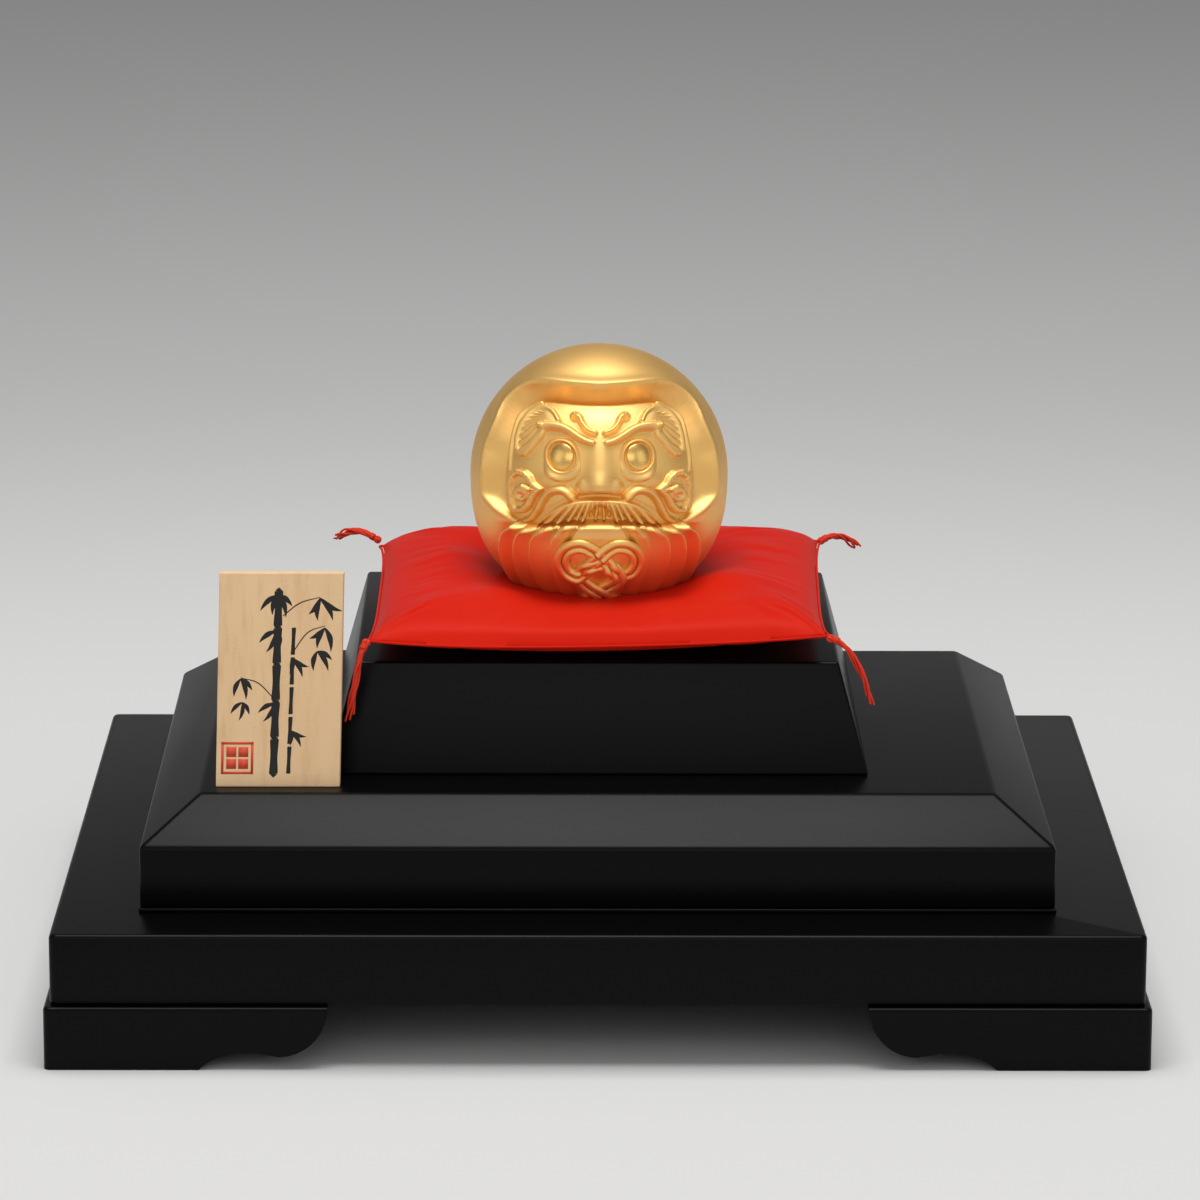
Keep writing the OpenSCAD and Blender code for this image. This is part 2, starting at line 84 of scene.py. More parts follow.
# %% A small language for materials
class Value:
    """The output of a node, which can be used in sums."""

    def __init__(self, finish, socket):
        self.finish, self.socket = finish, socket

    def maths(self, operation, first, second=0.0):
        return self.finish.node("Math", {"operation": operation}, {0: first, 1: second})

    def __add__(self, other):
        return self.maths("ADD", self, other)

    def __mul__(self, other):
        return self.maths("MULTIPLY", self, other)

    __radd__, __rmul__ = __add__, __mul__

    def sine(self):
        return self.maths("SINE", self)

    def between(self, low, high):
        """0 below low, 1 above high, and smooth in between."""
        return self.finish.node("MapRange", {"interpolation_type": "SMOOTHSTEP"},
                                {"Value": self, "From Min": low, "From Max": high})


class Finish:
    """One material."""

    def __init__(self, name, **sockets):
        self.material = bpy.data.materials.new(name)
        self.material.use_nodes = True
        self.tree = self.material.node_tree
        self.shader = self.tree.nodes["Principled BSDF"]
        self.place = self.node("TexCoord", out="Object")
        self.set(**sockets)

    def node(self, kind, settings=None, sockets=None, out=0):
        made = self.tree.nodes.new("ShaderNode" + kind)
        for name, value in (settings or {}).items():
            if name != "stops":
                setattr(made, name, value)
                continue
            stops = made.color_ramp.elements
            while len(stops) < len(value):
                stops.new(0.5)
            for stop, (where, colour) in zip(stops, value):
                stop.position, stop.color = where, colour
        for name, value in (sockets or {}).items():
            self.feed(made.inputs[name], value)
        return Value(self, made.outputs[out])

    def feed(self, socket, value):
        if isinstance(value, Value):
            self.tree.links.new(value.socket, socket)
        else:
            socket.default_value = value

    def set(self, **sockets):
        for name, value in sockets.items():
            self.feed(self.shader.inputs[name.replace("_", " ")], value)

    def stretched(self, x, y, z):
        """Object coordinates scaled by a factor for each axis."""
        return self.node("Mapping", None, {"Vector": self.place, "Scale": (x, y, z)})

    def noise(self, size, detail=2.0, where=None, rough=0.5):
        """Noise from 0 to 1 whose blotches are about size across."""
        return self.node("TexNoise", None, {"Vector": where or self.place, "Scale": 1 / size,
                                           "Detail": detail, "Roughness": rough})

    def blend(self, factor, first, second):
        return self.node("Mix", {"data_type": "RGBA"}, {0: factor, 6: first, 7: second}, out=2)

    def bump(self, height, strength, distance):
        made = self.node("Bump", None, {"Height": height, "Strength": strength, "Distance": distance})
        self.feed(self.shader.inputs["Normal"], made)


def colour(r, g, b):
    return (r, g, b, 1.0)


# %% [markdown]
# ## Building pieces
#
# Every piece starts as a bmesh, becomes an object at the origin with its place in its mesh, and rides on a body of
# the CAD model. piece() does those steps for all of them.

# %% Helpers that turn a bmesh into a riding piece
def piece(name, mesh, finish, body, nodes=(), smooth=True):
    if isinstance(mesh, bmesh.types.BMesh):
        data = bpy.data.meshes.new(name)
        mesh.to_mesh(data)
        mesh.free()
    else:
        data = mesh
    made = bpy.data.objects.new(name, data)
    bpy.context.scene.collection.objects.link(made)
    data.materials.append(finish.material)
    data.polygons.foreach_set("use_smooth", [smooth] * len(data.polygons))
    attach(made, body)
    if nodes:
        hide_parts(*nodes)
    print(f"{name}: {len(data.polygons)} faces")
    return made


def bevelled(bm, edges, size, segments=3):
    bmesh.ops.bevel(bm, geom=edges, offset=size, segments=segments, profile=0.5, affect="EDGES", material=-1,
                    clamp_overlap=True)


# %% [markdown]
# ## Black lacquer
#
# The stand is wood under black urushi lacquer, rubbed to a satin. A satin black is nearly all reflection: the base
# colour is almost black, and the roughness decides how soft the room's reflection looks. A long fine noise along
# the boards gives the faint brushing, and a wide one keeps the gloss from being even.

# %% Lacquer
lacquer = Finish("black_lacquer", Base_Color=colour(0.0010, 0.0011, 0.0014), Specular_IOR_Level=0.11)
brushing = lacquer.noise(0.0006, 2, lacquer.stretched(0.06, 1, 1))
clouds = lacquer.noise(0.05, 3)
lacquer.set(Roughness=0.27 + clouds * 0.05 + brushing * 0.05)
lacquer.bump(brushing, 0.10, 0.00004)


# %% [markdown]
# ## The boards of the stand
#
# A board with a bevelled top is a cube whose top face is extruded upwards and drawn in, so its corners stay
# mitred. Every edge is then rounded a little, because lacquer can't hold a sharp edge and each rounded edge
# catches a thin line of light. A straight extrusion without that rounding is what makes computer models look
# like computer models.

# %% Boards
def block(low, high):
    bm = bmesh.new()
    bmesh.ops.create_cube(bm, size=1)
    size = Vector(high) - Vector(low)
    bmesh.ops.scale(bm, vec=size, verts=bm.verts)
    bmesh.ops.translate(bm, vec=(Vector(low) + Vector(high)) / 2, verts=bm.verts)
    return bm


def top_face(bm):
    return max(bm.faces, key=lambda f: f.calc_center_median().z)


def raise_top(bm, height, run):
    """Extrudes the top face upwards and draws it in by run on every side."""
    raised = bmesh.ops.extrude_discrete_faces(bm, faces=[top_face(bm)])["faces"][0]
    centre = raised.calc_center_median()
    for v in raised.verts:
        v.co.x -= math.copysign(run, v.co.x - centre.x)
        v.co.y -= math.copysign(run, v.co.y - centre.y)
        v.co.z += height


def edges_where(bm, test):
    return [e for e in bm.edges if test((e.verts[0].co + e.verts[1].co) / 2, e.verts[0].co - e.verts[1].co)]


lower = block(LOWER_LOW, LOWER_HIGH)
bevelled(lower, edges_where(lower, lambda mid, way: abs(way.z) > 0.001), 1.4 * MM, 4)
bevelled(lower, edges_where(lower, lambda mid, way: abs(mid.z - LOWER_HIGH[2]) < 1e-6), 0.9 * MM, 4)
bevelled(lower, edges_where(lower, lambda mid, way: abs(mid.z - LOWER_LOW[2]) < 1e-6), 0.5 * MM, 3)
piece("lacquered_lower_board", lower, lacquer, "stand", ["lower_board"])

# %% The middle board, with its wide bevel and the bead round its foot
BEVEL_RISE = 8 * MM
BEVEL_RUN = 11.2 * MM
BEAD = 0.7 * MM
ledge_top = (MIDDLE_HIGH[0], MIDDLE_HIGH[1], MIDDLE_HIGH[2] - BEVEL_RISE)
middle = block((MIDDLE_LOW[0], MIDDLE_LOW[1], MIDDLE_LOW[2] + BEAD), ledge_top)
raise_top(middle, BEVEL_RISE, BEVEL_RUN)
bmesh.ops.remove_doubles(middle, verts=middle.verts, dist=1e-6)
bevelled(middle, list(middle.edges), 0.7 * MM, 4)
bead = block((MIDDLE_LOW[0] - 0.3 * MM, MIDDLE_LOW[1] - 0.3 * MM, MIDDLE_LOW[2]),
             (MIDDLE_HIGH[0] + 0.3 * MM, MIDDLE_HIGH[1] + 0.3 * MM, MIDDLE_LOW[2] + BEAD * 1.3))
bevelled(bead, list(bead.edges), 0.3 * MM, 3)
piece("lacquered_middle_board", middle, lacquer, "stand", ["middle_board"])
piece("middle_board_bead", bead, lacquer, "stand")

# %% The pedestal
PEDESTAL_TOP_HALF = 47.5 * MM
SLOPE = (PEDESTAL_HIGH[0] - PEDESTAL_LOW[0]) / 2 - PEDESTAL_TOP_HALF
pedestal = block(PEDESTAL_LOW, PEDESTAL_HIGH)
for v in top_face(pedestal).verts:
    v.co.x -= math.copysign(SLOPE, v.co.x)
    v.co.y -= math.copysign(SLOPE, v.co.y)
bevelled(pedestal, list(pedestal.edges), 0.55 * MM, 4)
piece("lacquered_pedestal", pedestal, lacquer, "stand", ["pedestal_block"])

# %% [markdown]
# ## Bracket feet
#
# Each corner foot is two boards mitred together, but under lacquer the joint disappears. So each foot is one piece
# here: the shaped outline is a single face extruded through the thickness, cut on the mitre plane, and joined to
# its other arm. The end has a cove, which is one smooth curve, and a rounded brow above it.

# %% Feet
FOOT_H = FOOT_HIGH[2] / MM
FOOT_THICK = 11.0
BROW_LOW = 2.6


def foot_outline(length):
    """Outline of one arm in millimetres: flat sole, cove, then a quarter round up to the board."""
    start, brow_x = length - 24.8, length - 9.4
    cove = [Vector((start, 0)), Vector((start + 5, 5)), Vector((brow_x, BROW_LOW))]
    points = [(0, 0)]
    for i in range(13):
        t = i / 12
        points.append(tuple(cove[0] * (1 - t) ** 2 + cove[1] * 2 * t * (1 - t) + cove[2] * t * t))
    for i in range(1, 15):
        turn = math.radians(90 * i / 14)
        points.append((brow_x + (length - brow_x) * math.sin(turn),
                       FOOT_H - (FOOT_H - BROW_LOW) * math.cos(turn)))
    return points + [(0, FOOT_H)]


def foot_arm(bm, length, along_y):
    """Adds one arm to bm, with its outer corner at the origin, cut on the mitre."""
    start = set(bm.verts)
    face = bm.faces.new([bm.verts.new((x, 0, z)) for x, z in foot_outline(length)])
    extruded = bmesh.ops.extrude_face_region(bm, geom=[face])["geom"]
    back = [v for v in extruded if isinstance(v, bmesh.types.BMVert)]
    bmesh.ops.translate(bm, vec=(0, FOOT_THICK, 0), verts=back)
    new = [v for v in bm.verts if v not in start]
    geometry = new + list({e for v in new for e in v.link_edges})
    geometry += list({f for v in new for f in v.link_faces})
    bmesh.ops.bisect_plane(bm, geom=geometry, dist=1e-5, plane_co=(0, 0, 0), plane_no=(-1, 1, 0),
                           clear_outer=True)
    if along_y:
        for v in bm.verts:
            if v not in start:
                v.co.x, v.co.y = v.co.y, v.co.x


def top_rim(bm):
    """The edges between the top of a foot and its two outer sides."""
    rim = []
    for edge in bm.edges:
        normals = [face.normal for face in edge.link_faces]
        if sorted(round(n.z) for n in normals) == [0, 1] and min(n.x + n.y for n in normals) < -0.9:
            rim.append(edge)
    return rim


for side, x_way in (("left", 1), ("right", -1)):
    for end, y_way in (("front", 1), ("rear", -1)):
        foot = bmesh.new()
        long_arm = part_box(f"foot_{end}_{side}_long")
        short_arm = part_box(f"foot_{end}_{side}_short")
        foot_arm(foot, (long_arm[1][0] - long_arm[0][0]) / MM + 0.4, False)
        foot_arm(foot, (short_arm[1][1] - short_arm[0][1]) / MM + 0.4, True)
        bmesh.ops.remove_doubles(foot, verts=foot.verts, dist=0.01)
        bmesh.ops.recalc_face_normals(foot, faces=foot.faces)
        bevelled(foot, edges_where(foot, lambda mid, way: max(mid.x, mid.y) < 0.01), 1.3, 4)
        bevelled(foot, top_rim(foot), 0.9, 4)
        lower_rim = edges_where(foot, lambda mid, way: min(mid.x, mid.y) < 0.01 and mid.z < FOOT_H - 1.5
                                and abs(way.z) < 2)
        bevelled(foot, lower_rim, 0.45, 2)
        corner = ((-1 if x_way > 0 else 1) * max(abs(long_arm[0][0]), abs(long_arm[1][0])),
                  (-1 if y_way > 0 else 1) * max(abs(long_arm[0][1]), abs(long_arm[1][1])), 0)
        bmesh.ops.scale(foot, vec=(x_way * MM, y_way * MM, MM), verts=foot.verts)
        bmesh.ops.translate(foot, vec=corner, verts=foot.verts)
        bmesh.ops.recalc_face_normals(foot, faces=foot.faces)
        piece(f"foot_{end}_{side}", foot, lacquer, "stand",
              [f"foot_{end}_{side}_long", f"foot_{end}_{side}_short"], smooth=False)

# %% [markdown]
# ## Gold
#
# Satin gold is a metal with a middling roughness, which drifts a little in soft patches so that it doesn't look
# even. The relief itself is in the mesh, so the bump only adds the very fine grain that the sandblasting leaves.
# The pins of the eyes are burnished, so they have a smoother gold of their own.

# %% Gold
gold = Finish("satin_gold", Metallic=1.0)
grain = gold.noise(0.00025, 2)
patches = gold.noise(0.012, 3)
gold.set(Base_Color=gold.blend(patches, colour(0.96, 0.60, 0.195), colour(1.0, 0.64, 0.225)),
         Roughness=0.48 + patches * 0.05)
gold.bump(grain, 0.06, 0.00002)
bright_gold = Finish("burnished_gold", Metallic=1.0, Base_Color=colour(1.0, 0.62, 0.19))
bright_gold.set(Roughness=0.24 + bright_gold.noise(0.002, 2) * 0.06)

# %% [markdown]
# ## How the relief is drawn
#
# A chaser works the face from lines and plates: a ridge along a curve, a plate inside an outline, a soft swelling.
# The same few marks are functions here. Each takes the two arrays of positions seen from the front, in
# millimetres from the doll's centre, and gives a height for every point at once. The mesh is a fine grid, and the
# heights push its points in or out along the surface.

# %% Chasing tools
def smooth_step(value, low, high):
    t = np.clip((value - low) / (high - low), 0, 1)
    return t * t * (3 - 2 * t)


def curve(points, steps=12):
    """A smooth curve through the points, as an array of places."""
    p = np.array(points, dtype=float)
    p = np.vstack([2 * p[0] - p[1], p, 2 * p[-1] - p[-2]])
    t = np.linspace(0, 1, steps, endpoint=False)[:, None]
    parts = []
    for a, b, c, d in zip(p, p[1:], p[2:], p[3:]):
        parts.append(0.5 * (2 * b + (c - a) * t + (2 * a - 5 * b + 4 * c - d) * t**2
                            + (3 * b - a - 3 * c + d) * t**3))
    return np.vstack(parts + [p[-2:-1]])


def along(x, z, path):
    """Distance from each point to the path, and how far along the path its nearest place is, from 0 to 1."""
    best = np.full(x.shape, 1e9)
    where = np.zeros(x.shape)
    count = len(path) - 1
    for i in range(count):
        ax, az = path[i]
        dx, dz = path[i + 1] - path[i]
        t = np.clip(((x - ax) * dx + (z - az) * dz) / max(dx * dx + dz * dz, 1e-12), 0, 1)
        far = np.hypot(x - ax - t * dx, z - az - t * dz)
        nearer = far < best
        best = np.where(nearer, far, best)
        where = np.where(nearer, (i + t) / count, where)
    return best, where


def ridge(x, z, points, width, height, taper=0.0):
    """A raised line. Its width and height shrink by the taper towards its end."""
    far, where = along(x, z, curve(points))
    keep = 1 - taper * where
    return height * keep * np.clip(1 - (far / (width * keep)) ** 2, 0, 1) ** 0.8


def inside(x, z, outline):
    """Distance to a closed outline, positive within it."""
    path = np.vstack([outline, outline[:1]])
    far, _ = along(x, z, path)
    within = np.zeros(x.shape, dtype=bool)
    for (ax, az), (bx, bz) in zip(path, path[1:]):
        if az != bz:
            crosses = (az > z) != (bz > z)
            within ^= crosses & (x < ax + (z - az) * (bx - ax) / (bz - az))
    return np.where(within, far, -far)


def plate(edge, height, rounding):
    """A plate with a rounded rim, from the distance inside its outline."""
    t = np.clip(edge / rounding, 0, 1)
    return height * np.sqrt(np.clip(1 - (1 - t) ** 2, 0, 1))


def swelling(x, z, centre, width, depth, height):
    return height * np.exp(-((x - centre[0]) / width) ** 2 - ((z - centre[1]) / depth) ** 2)


# %% [markdown]
# ## The body's form
#
# The body is a surface of revolution: a half circle above its widest ring and a squarer curve below it. One
# function gives the radius at a height, and another wraps a flat grid round the front or the back of it.

# %% The body as a wrapped grid
R = BODY_R / MM
UP, DOWN = (26.0, 2.0), (26.4, 2.4)
LOWEST = -math.asin((BASE_DROP / MM / DOWN[0]) ** (DOWN[1] / 2))


def section(turn, inset=0.0):
    """Radius and height of the body where its section has turned by an angle from the widest ring."""
    up = turn >= 0
    height = np.where(up, UP[0], DOWN[0]) - inset
    power = np.where(up, 2 / UP[1], 2 / DOWN[1])
    radius = (R - inset) * np.abs(np.cos(turn)) ** power
    return radius, np.sign(turn) * height * np.abs(np.sin(turn)) ** power


def body_radius(z, inset=0.0):
    up = z >= 0
    height = np.where(up, UP[0], DOWN[0]) - inset
    power = np.where(up, UP[1], DOWN[1])
    return (R - inset) * np.clip(1 - np.clip(np.abs(z) / height, 0, 1) ** power, 0, 1) ** (1 / power)


def grid_mesh(columns, rows):
    """A flat grid of quads, with the places of its points from -1 to 1 as arrays."""
    bm = bmesh.new()
    bmesh.ops.create_grid(bm, x_segments=columns, y_segments=rows, size=1)
    data = bpy.data.meshes.new("grid")
    bm.to_mesh(data)
    bm.free()
    flat = np.empty(len(data.vertices) * 3)
    data.vertices.foreach_get("co", flat)
    return data, flat[0::3].copy(), flat[1::3].copy()


def place_points(data, x, y, z):
    """Moves a mesh's points to places in millimetres from the doll's centre."""
    flat = np.empty(len(x) * 3)
    flat[0::3] = DOLL.x + x * MM
    flat[1::3] = DOLL.y + y * MM
    flat[2::3] = DOLL.z + z * MM
    data.vertices.foreach_set("co", flat)
    data.update()


def normals_at(x, y, z, inset=0.0):
    """Outward normals of the body of revolution."""
    up = z >= 0
    height = np.where(up, UP[0], DOWN[0]) - inset
    power = np.where(up, UP[1], DOWN[1])
    radius = np.hypot(x, y)
    out = np.maximum(radius, 1e-6) ** (power - 1) / (R - inset) ** power
    rise = np.sign(z) * np.abs(z) ** (power - 1) / height**power
    length = np.sqrt(out * out + rise * rise)
    outward = out / length / np.maximum(radius, 1e-6)
    return x * outward, y * outward, rise / length


# %% [markdown]
# ## Outer shell: hood and robe
#
# Seen from the front, the shell has the hood's rolled rim round the face, a cove that sinks to the face panel, and
# the robe's pleats below. The pleats overlap like shells: each one rises slowly towards its outer edge and drops
# sharply onto the next. Their edges spread from under the moustache, bulge and close in towards the base.

# %% Outline of the face panel, and the heights of the outer shell
PANEL_DEPTH = 2.3
PANEL_HALF = [(0, 17.4), (8, 17.5), (11.8, 17.1), (14.6, 15.5), (16.6, 12.8), (17.9, 8), (18.6, 3.6), (18.8, 0),
              (18.5, -3), (17.6, -5.0), (16.2, -5.8), (14, -6.1), (12.2, -5.8), (10.4, -5.4), (7.6, -4.7),
              (5, -4.3), (0, -4.0)]
PANEL_POINTS = PANEL_HALF + [(-px, pz) for px, pz in PANEL_HALF[-2:0:-1]]
PANEL = curve(PANEL_POINTS + PANEL_POINTS[:1], 5)[:-1]

# For each pleat's outer edge: its widest half-width, where it starts, how far its top leans in, and how fast it
# closes in towards the base
PLEATS = [(5.9, -4.6, 3.2, 0.25), (9.7, -5.0, 3.7, 0.20), (13.7, -5.8, 3.4, 0.165), (16.8, -6.2, 3.1, 0.12),
          (19.5, -6.6, 2.5, 0.108)]


def pleat_edge(z, wide, top, lean, closing):
    """Half-width of one pleat's edge at each height."""
    below = np.maximum(-12 - z, 0) / 8
    return wide * (1 - closing * below**2) - lean * np.exp(-np.maximum(top - z, 0) / 1.7)


MOUND = 0.75


def pleat_depth(z):
    return (0.80 + 1.45 * np.exp(-np.maximum(-7.5 - z, 0) / 5.5)) * smooth_step(z, -25, -19)


def robe(x, z):
    """Height of the robe's pleats. The middle one is a level mound, and the others rise outwards."""
    side = np.abs(x)
    depth = pleat_depth(z)
    height = np.zeros(x.shape)
    inner = np.zeros(x.shape)
    for wide, top, lean, closing in PLEATS:
        outer = pleat_edge(z, wide, top, lean, closing)
        across = np.clip((side - inner) / np.maximum(outer - inner, 0.1), 0, 1)
        is_mound = wide == PLEATS[0][0]
        rising = depth * (MOUND if is_mound else 0.25 + 0.75 * np.sin(across * math.pi / 2))
        drop = smooth_step(outer - side, -0.12, 0.22)
        height = np.where((side >= inner) & (side < outer + 0.3), rising * drop, height)
        inner = outer
    beyond = side - inner
    hollow = -0.5 * depth * np.exp(-np.maximum(beyond, 0) / 1.6)
    return np.where(beyond > 0.1, hollow, height) * smooth_step(-z, 4.0, 5.6)


def shell_height(x, z):
    """Height of the outer shell over the plain body, and the distance outside the face panel."""
    outside = -inside(x, z, PANEL)
    cove = 0.5 + 3.9 * smooth_step(z, -7.0, -1.5) - 1.1 * smooth_step(z, 6, 14)
    across = np.clip(outside / cove, 0, 1)
    recess = 2.9 + 0.9 * smooth_step(z, -4, 2) + 2.2 * smooth_step(z, 9, 17)
    slope = recess * np.where(outside < cove, (1 - across**2.6) ** 0.55, -2.0 * (outside / cove - 1))
    soft = 0.10 + 0.20 * smooth_step(z, -7, -3)
    sunk = -soft * np.log1p(np.exp(np.clip(slope / soft, -40, 40)))
    sunk = np.where(outside < 0, -recess, sunk)
    sunk += 0.75 * np.exp(-(((outside - cove - 0.1) / 1.05) ** 2)) * smooth_step(z, -7, -2)
    return sunk + robe(x, z) * smooth_step(outside, 0.0, 1.1), outside


# %% Front of the outer shell
COLUMNS, ROWS = 300, 330
shell_data, s, t = grid_mesh(COLUMNS, ROWS)
bearing = 0.7 * np.arcsin(np.clip(s, -1, 1)) + 0.3 * s * math.pi / 2
rise_angle = LOWEST + (t + 1) / 2 * (math.pi / 2 - LOWEST)
radius, z = section(rise_angle)
x, y = radius * np.sin(bearing), -radius * np.cos(bearing)
height, outside = shell_height(x, z)
height = height * smooth_step(-y, 0.3, 4.0)
nx, ny, nz = normals_at(x, y, z)
place_points(shell_data, x + nx * height, y + ny * height, z + nz * height)

shell = bmesh.new()
shell.from_mesh(shell_data)
bpy.data.meshes.remove(shell_data)
shell.verts.ensure_lookup_table()
hidden = [v for v, far in zip(list(shell.verts), outside) if far < -0.9]
bmesh.ops.delete(shell, geom=hidden, context="VERTS")
bmesh.ops.remove_doubles(shell, verts=shell.verts, dist=1e-6)
bmesh.ops.recalc_face_normals(shell, faces=shell.faces)
piece("doll_hood_and_robe", shell, gold, "doll", ["doll_front_shell"])

# %% Rear shell
rear_data, s, t = grid_mesh(120, 120)
bearing = s * math.pi / 2
radius, z = section(LOWEST + (t + 1) / 2 * (math.pi / 2 - LOWEST))
place_points(rear_data, radius * np.sin(bearing), radius * np.cos(bearing), z)
rear = bmesh.new()
rear.from_mesh(rear_data)
bpy.data.meshes.remove(rear_data)
bmesh.ops.remove_doubles(rear, verts=rear.verts, dist=1e-6)
bmesh.ops.recalc_face_normals(rear, faces=rear.faces)
piece("doll_back_shell", rear, gold, "doll", ["doll_rear_shell"])

# %% [markdown]
# ## The face
#
# The face is the traditional one: crane brows, tortoise whorls on the cheeks, a broad nose and a combed
# moustache. It is drawn for one side, and the distance from the middle mirrors it. Each feature is a plate or a
# ridge over the panel, and where two meet, a soft maximum joins them as wax would flow.

# %% The lines of the face, in millimetres from the doll's centre
FAN = np.array([(7.3, 13.7), (8.0, 14.9), (8.9, 15.9), (10.3, 16.4), (12.1, 16.1), (13.9, 14.8), (15.4, 12.7),
                (16.2, 10.1), (16.4, 7.9), (15.8, 6.5), (14.2, 6.7), (13.1, 7.9), (12.0, 9.4), (10.7, 10.8),
                (10.2, 12.0), (8.6, 12.6)])
FAN_ROOT = (8.4, 14.9)
FAN_CREST = [(7.6, 13.5), (8.6, 15.1), (10.2, 15.9), (12.0, 15.6), (13.7, 14.3), (15.1, 12.2), (15.8, 9.9),
             (15.9, 8)]
BROW = [(11.2, 12.5), (9.5, 12.9), (7.5, 12.8), (6.0, 12.3), (4.4, 11.4), (2.8, 10.6), (1.3, 10.2)]
KNOB = [(4.8, 15.0), (4.0, 14.7), (3.4, 13.6), (2.4, 12.6), (0.9, 12.0)]
STRIP = [(11.5, 16.8), (14.2, 15.5), (16.0, 13.2), (17.0, 9.9), (17.6, 6.6), (17.7, 3.6)]
EYE = (7.35, 7.5)
EYE_R = 2.6
WHORL = np.array([(10.6, 1.2), (12.3, 2.3), (13.1, 3.5), (14.2, 4.3), (15.9, 4.4), (17.3, 3.2), (18.0, 0.9),
                  (18.0, -1.9), (17.2, -3.9), (15.9, -4.7), (14.3, -4.2), (13.1, -2.8), (12.2, -0.7)])
WHORL_BOSS = np.array([(12.2, 0.9), (13.4, 1.5), (14.6, 1.8), (15.9, 1.1), (16.5, -0.4), (15.9, -1.9),
                       (14.5, -2.0), (13.6, -0.9), (13.2, 0.2)])
FOLD = [(5.3, -0.1), (6.3, 0.8), (7.5, 1.25), (9.1, 0.95), (10.3, 0.05), (11.3, -1.5), (12.1, -3.3),
        (13.1, -4.9), (14.3, -5.8)]
HOLLOW = [(5.9, -0.5), (7.5, -0.15), (9.1, -0.95), (10.3, -2.6), (11.4, -4.4), (12.3, -5.8)]
RELIEF = 1.35
NOSE_UP = [0.6, 1.5, 2.6, 5.0, 8.0, 10.0, 12.6]
NOSE_HIGH = [2.2, 2.7, 2.8, 2.0, 1.25, 0.85, 0.4]
NOSE_WIDE = [3.3, 3.4, 3.4, 3.2, 2.6, 2.0, 1.6]


def soft_max(a, b, soft):
    return 0.5 * (a + b + np.sqrt((a - b) ** 2 + soft * soft))


def eye_area(side, z):
    """The low mound of the lids, the thin ring and the seat of the inset eye."""
    far = np.hypot(side - EYE[0], z - EYE[1])
    lid_r = 3.65 + 1.15 * smooth_step(EYE[1] - z, 0, 4.2)
    lids = plate(lid_r - far, 0.75, 1.5)
    ring = 0.16 * np.exp(-(((far - 3.0) / 0.2) ** 2))
    seat = smooth_step(far, EYE_R - 0.1, EYE_R + 0.22)
    return (lids + ring) * seat - 0.5 * (1 - seat), far


def brow_area(side, z):
    """Fan of feathers, the two rolled ridges of the brow and the strand beside the hood."""
    edge = inside(side, z, FAN)
    fan = plate(edge, 1.0, 0.6)
    bearing = np.arctan2(z - FAN_ROOT[1], side - FAN_ROOT[0])
    far = np.hypot(side - FAN_ROOT[0], z - FAN_ROOT[1])
    barbs = np.cos(52 * bearing + 0.9 * np.sin(1.1 * far)) - 0.35
    fan += 0.16 * barbs * smooth_step(edge, 0.9, 1.5) * smooth_step(far, 1.6, 3.0)
    fan += ridge(side, z, FAN_CREST, 0.62, 0.28)
    brow = soft_max(ridge(side, z, BROW, 1.05, 1.45, 0.25), swelling(side, z, BROW[0], 0.95, 0.8, 1.9), 0.15)
    knob = soft_max(ridge(side, z, KNOB, 0.85, 1.25, 0.2), swelling(side, z, KNOB[0], 0.85, 0.75, 1.5), 0.12)
    strip = ridge(side, z, STRIP, 0.62, 0.85, 0.45)
    return np.maximum(soft_max(fan, brow, 0.1), np.maximum(knob, strip))


def nose(side, z):
    high = np.interp(z, NOSE_UP, NOSE_HIGH)
    wide = np.interp(z, NOSE_UP, NOSE_WIDE)
    bridge = high * np.exp(-((side / wide) ** 2.2))
    tip = swelling(side, z, (0, 2.6), 2.1, 1.6, 0.35)
    far = np.hypot((side - 2.6) / 2.1, (z - 1.9) / 1.9)
    wing = 1.9 * np.sqrt(np.clip(1 - far * far, 0, 1))
    under = 0.95 - 0.035 * side**2
    return soft_max(bridge + tip, wing, 0.5) * smooth_step(z, under - 0.45, under + 0.35)


def whorl(side, z):
    """Cheek whorl: a raised teardrop with a rolled rim, short rays and a boss like a comma."""
    edge = inside(side, z, WHORL)
    bearing = np.arctan2(z + 0.1, side - 15.2)
    body = plate(edge, 1.2, 0.6) - 0.55 * smooth_step(edge, 1.0, 1.5)
    rays = 0.05 * np.cos(30 * bearing) * smooth_step(edge, 0.5, 0.8) * (1 - smooth_step(edge, 1.3, 1.7))
    boss = plate(inside(side, z, WHORL_BOSS), 0.9, 0.8)
    dimple = swelling(side, z, (14.6, -0.5), 0.6, 0.5, -0.5)
    return body + rays + boss + dimple


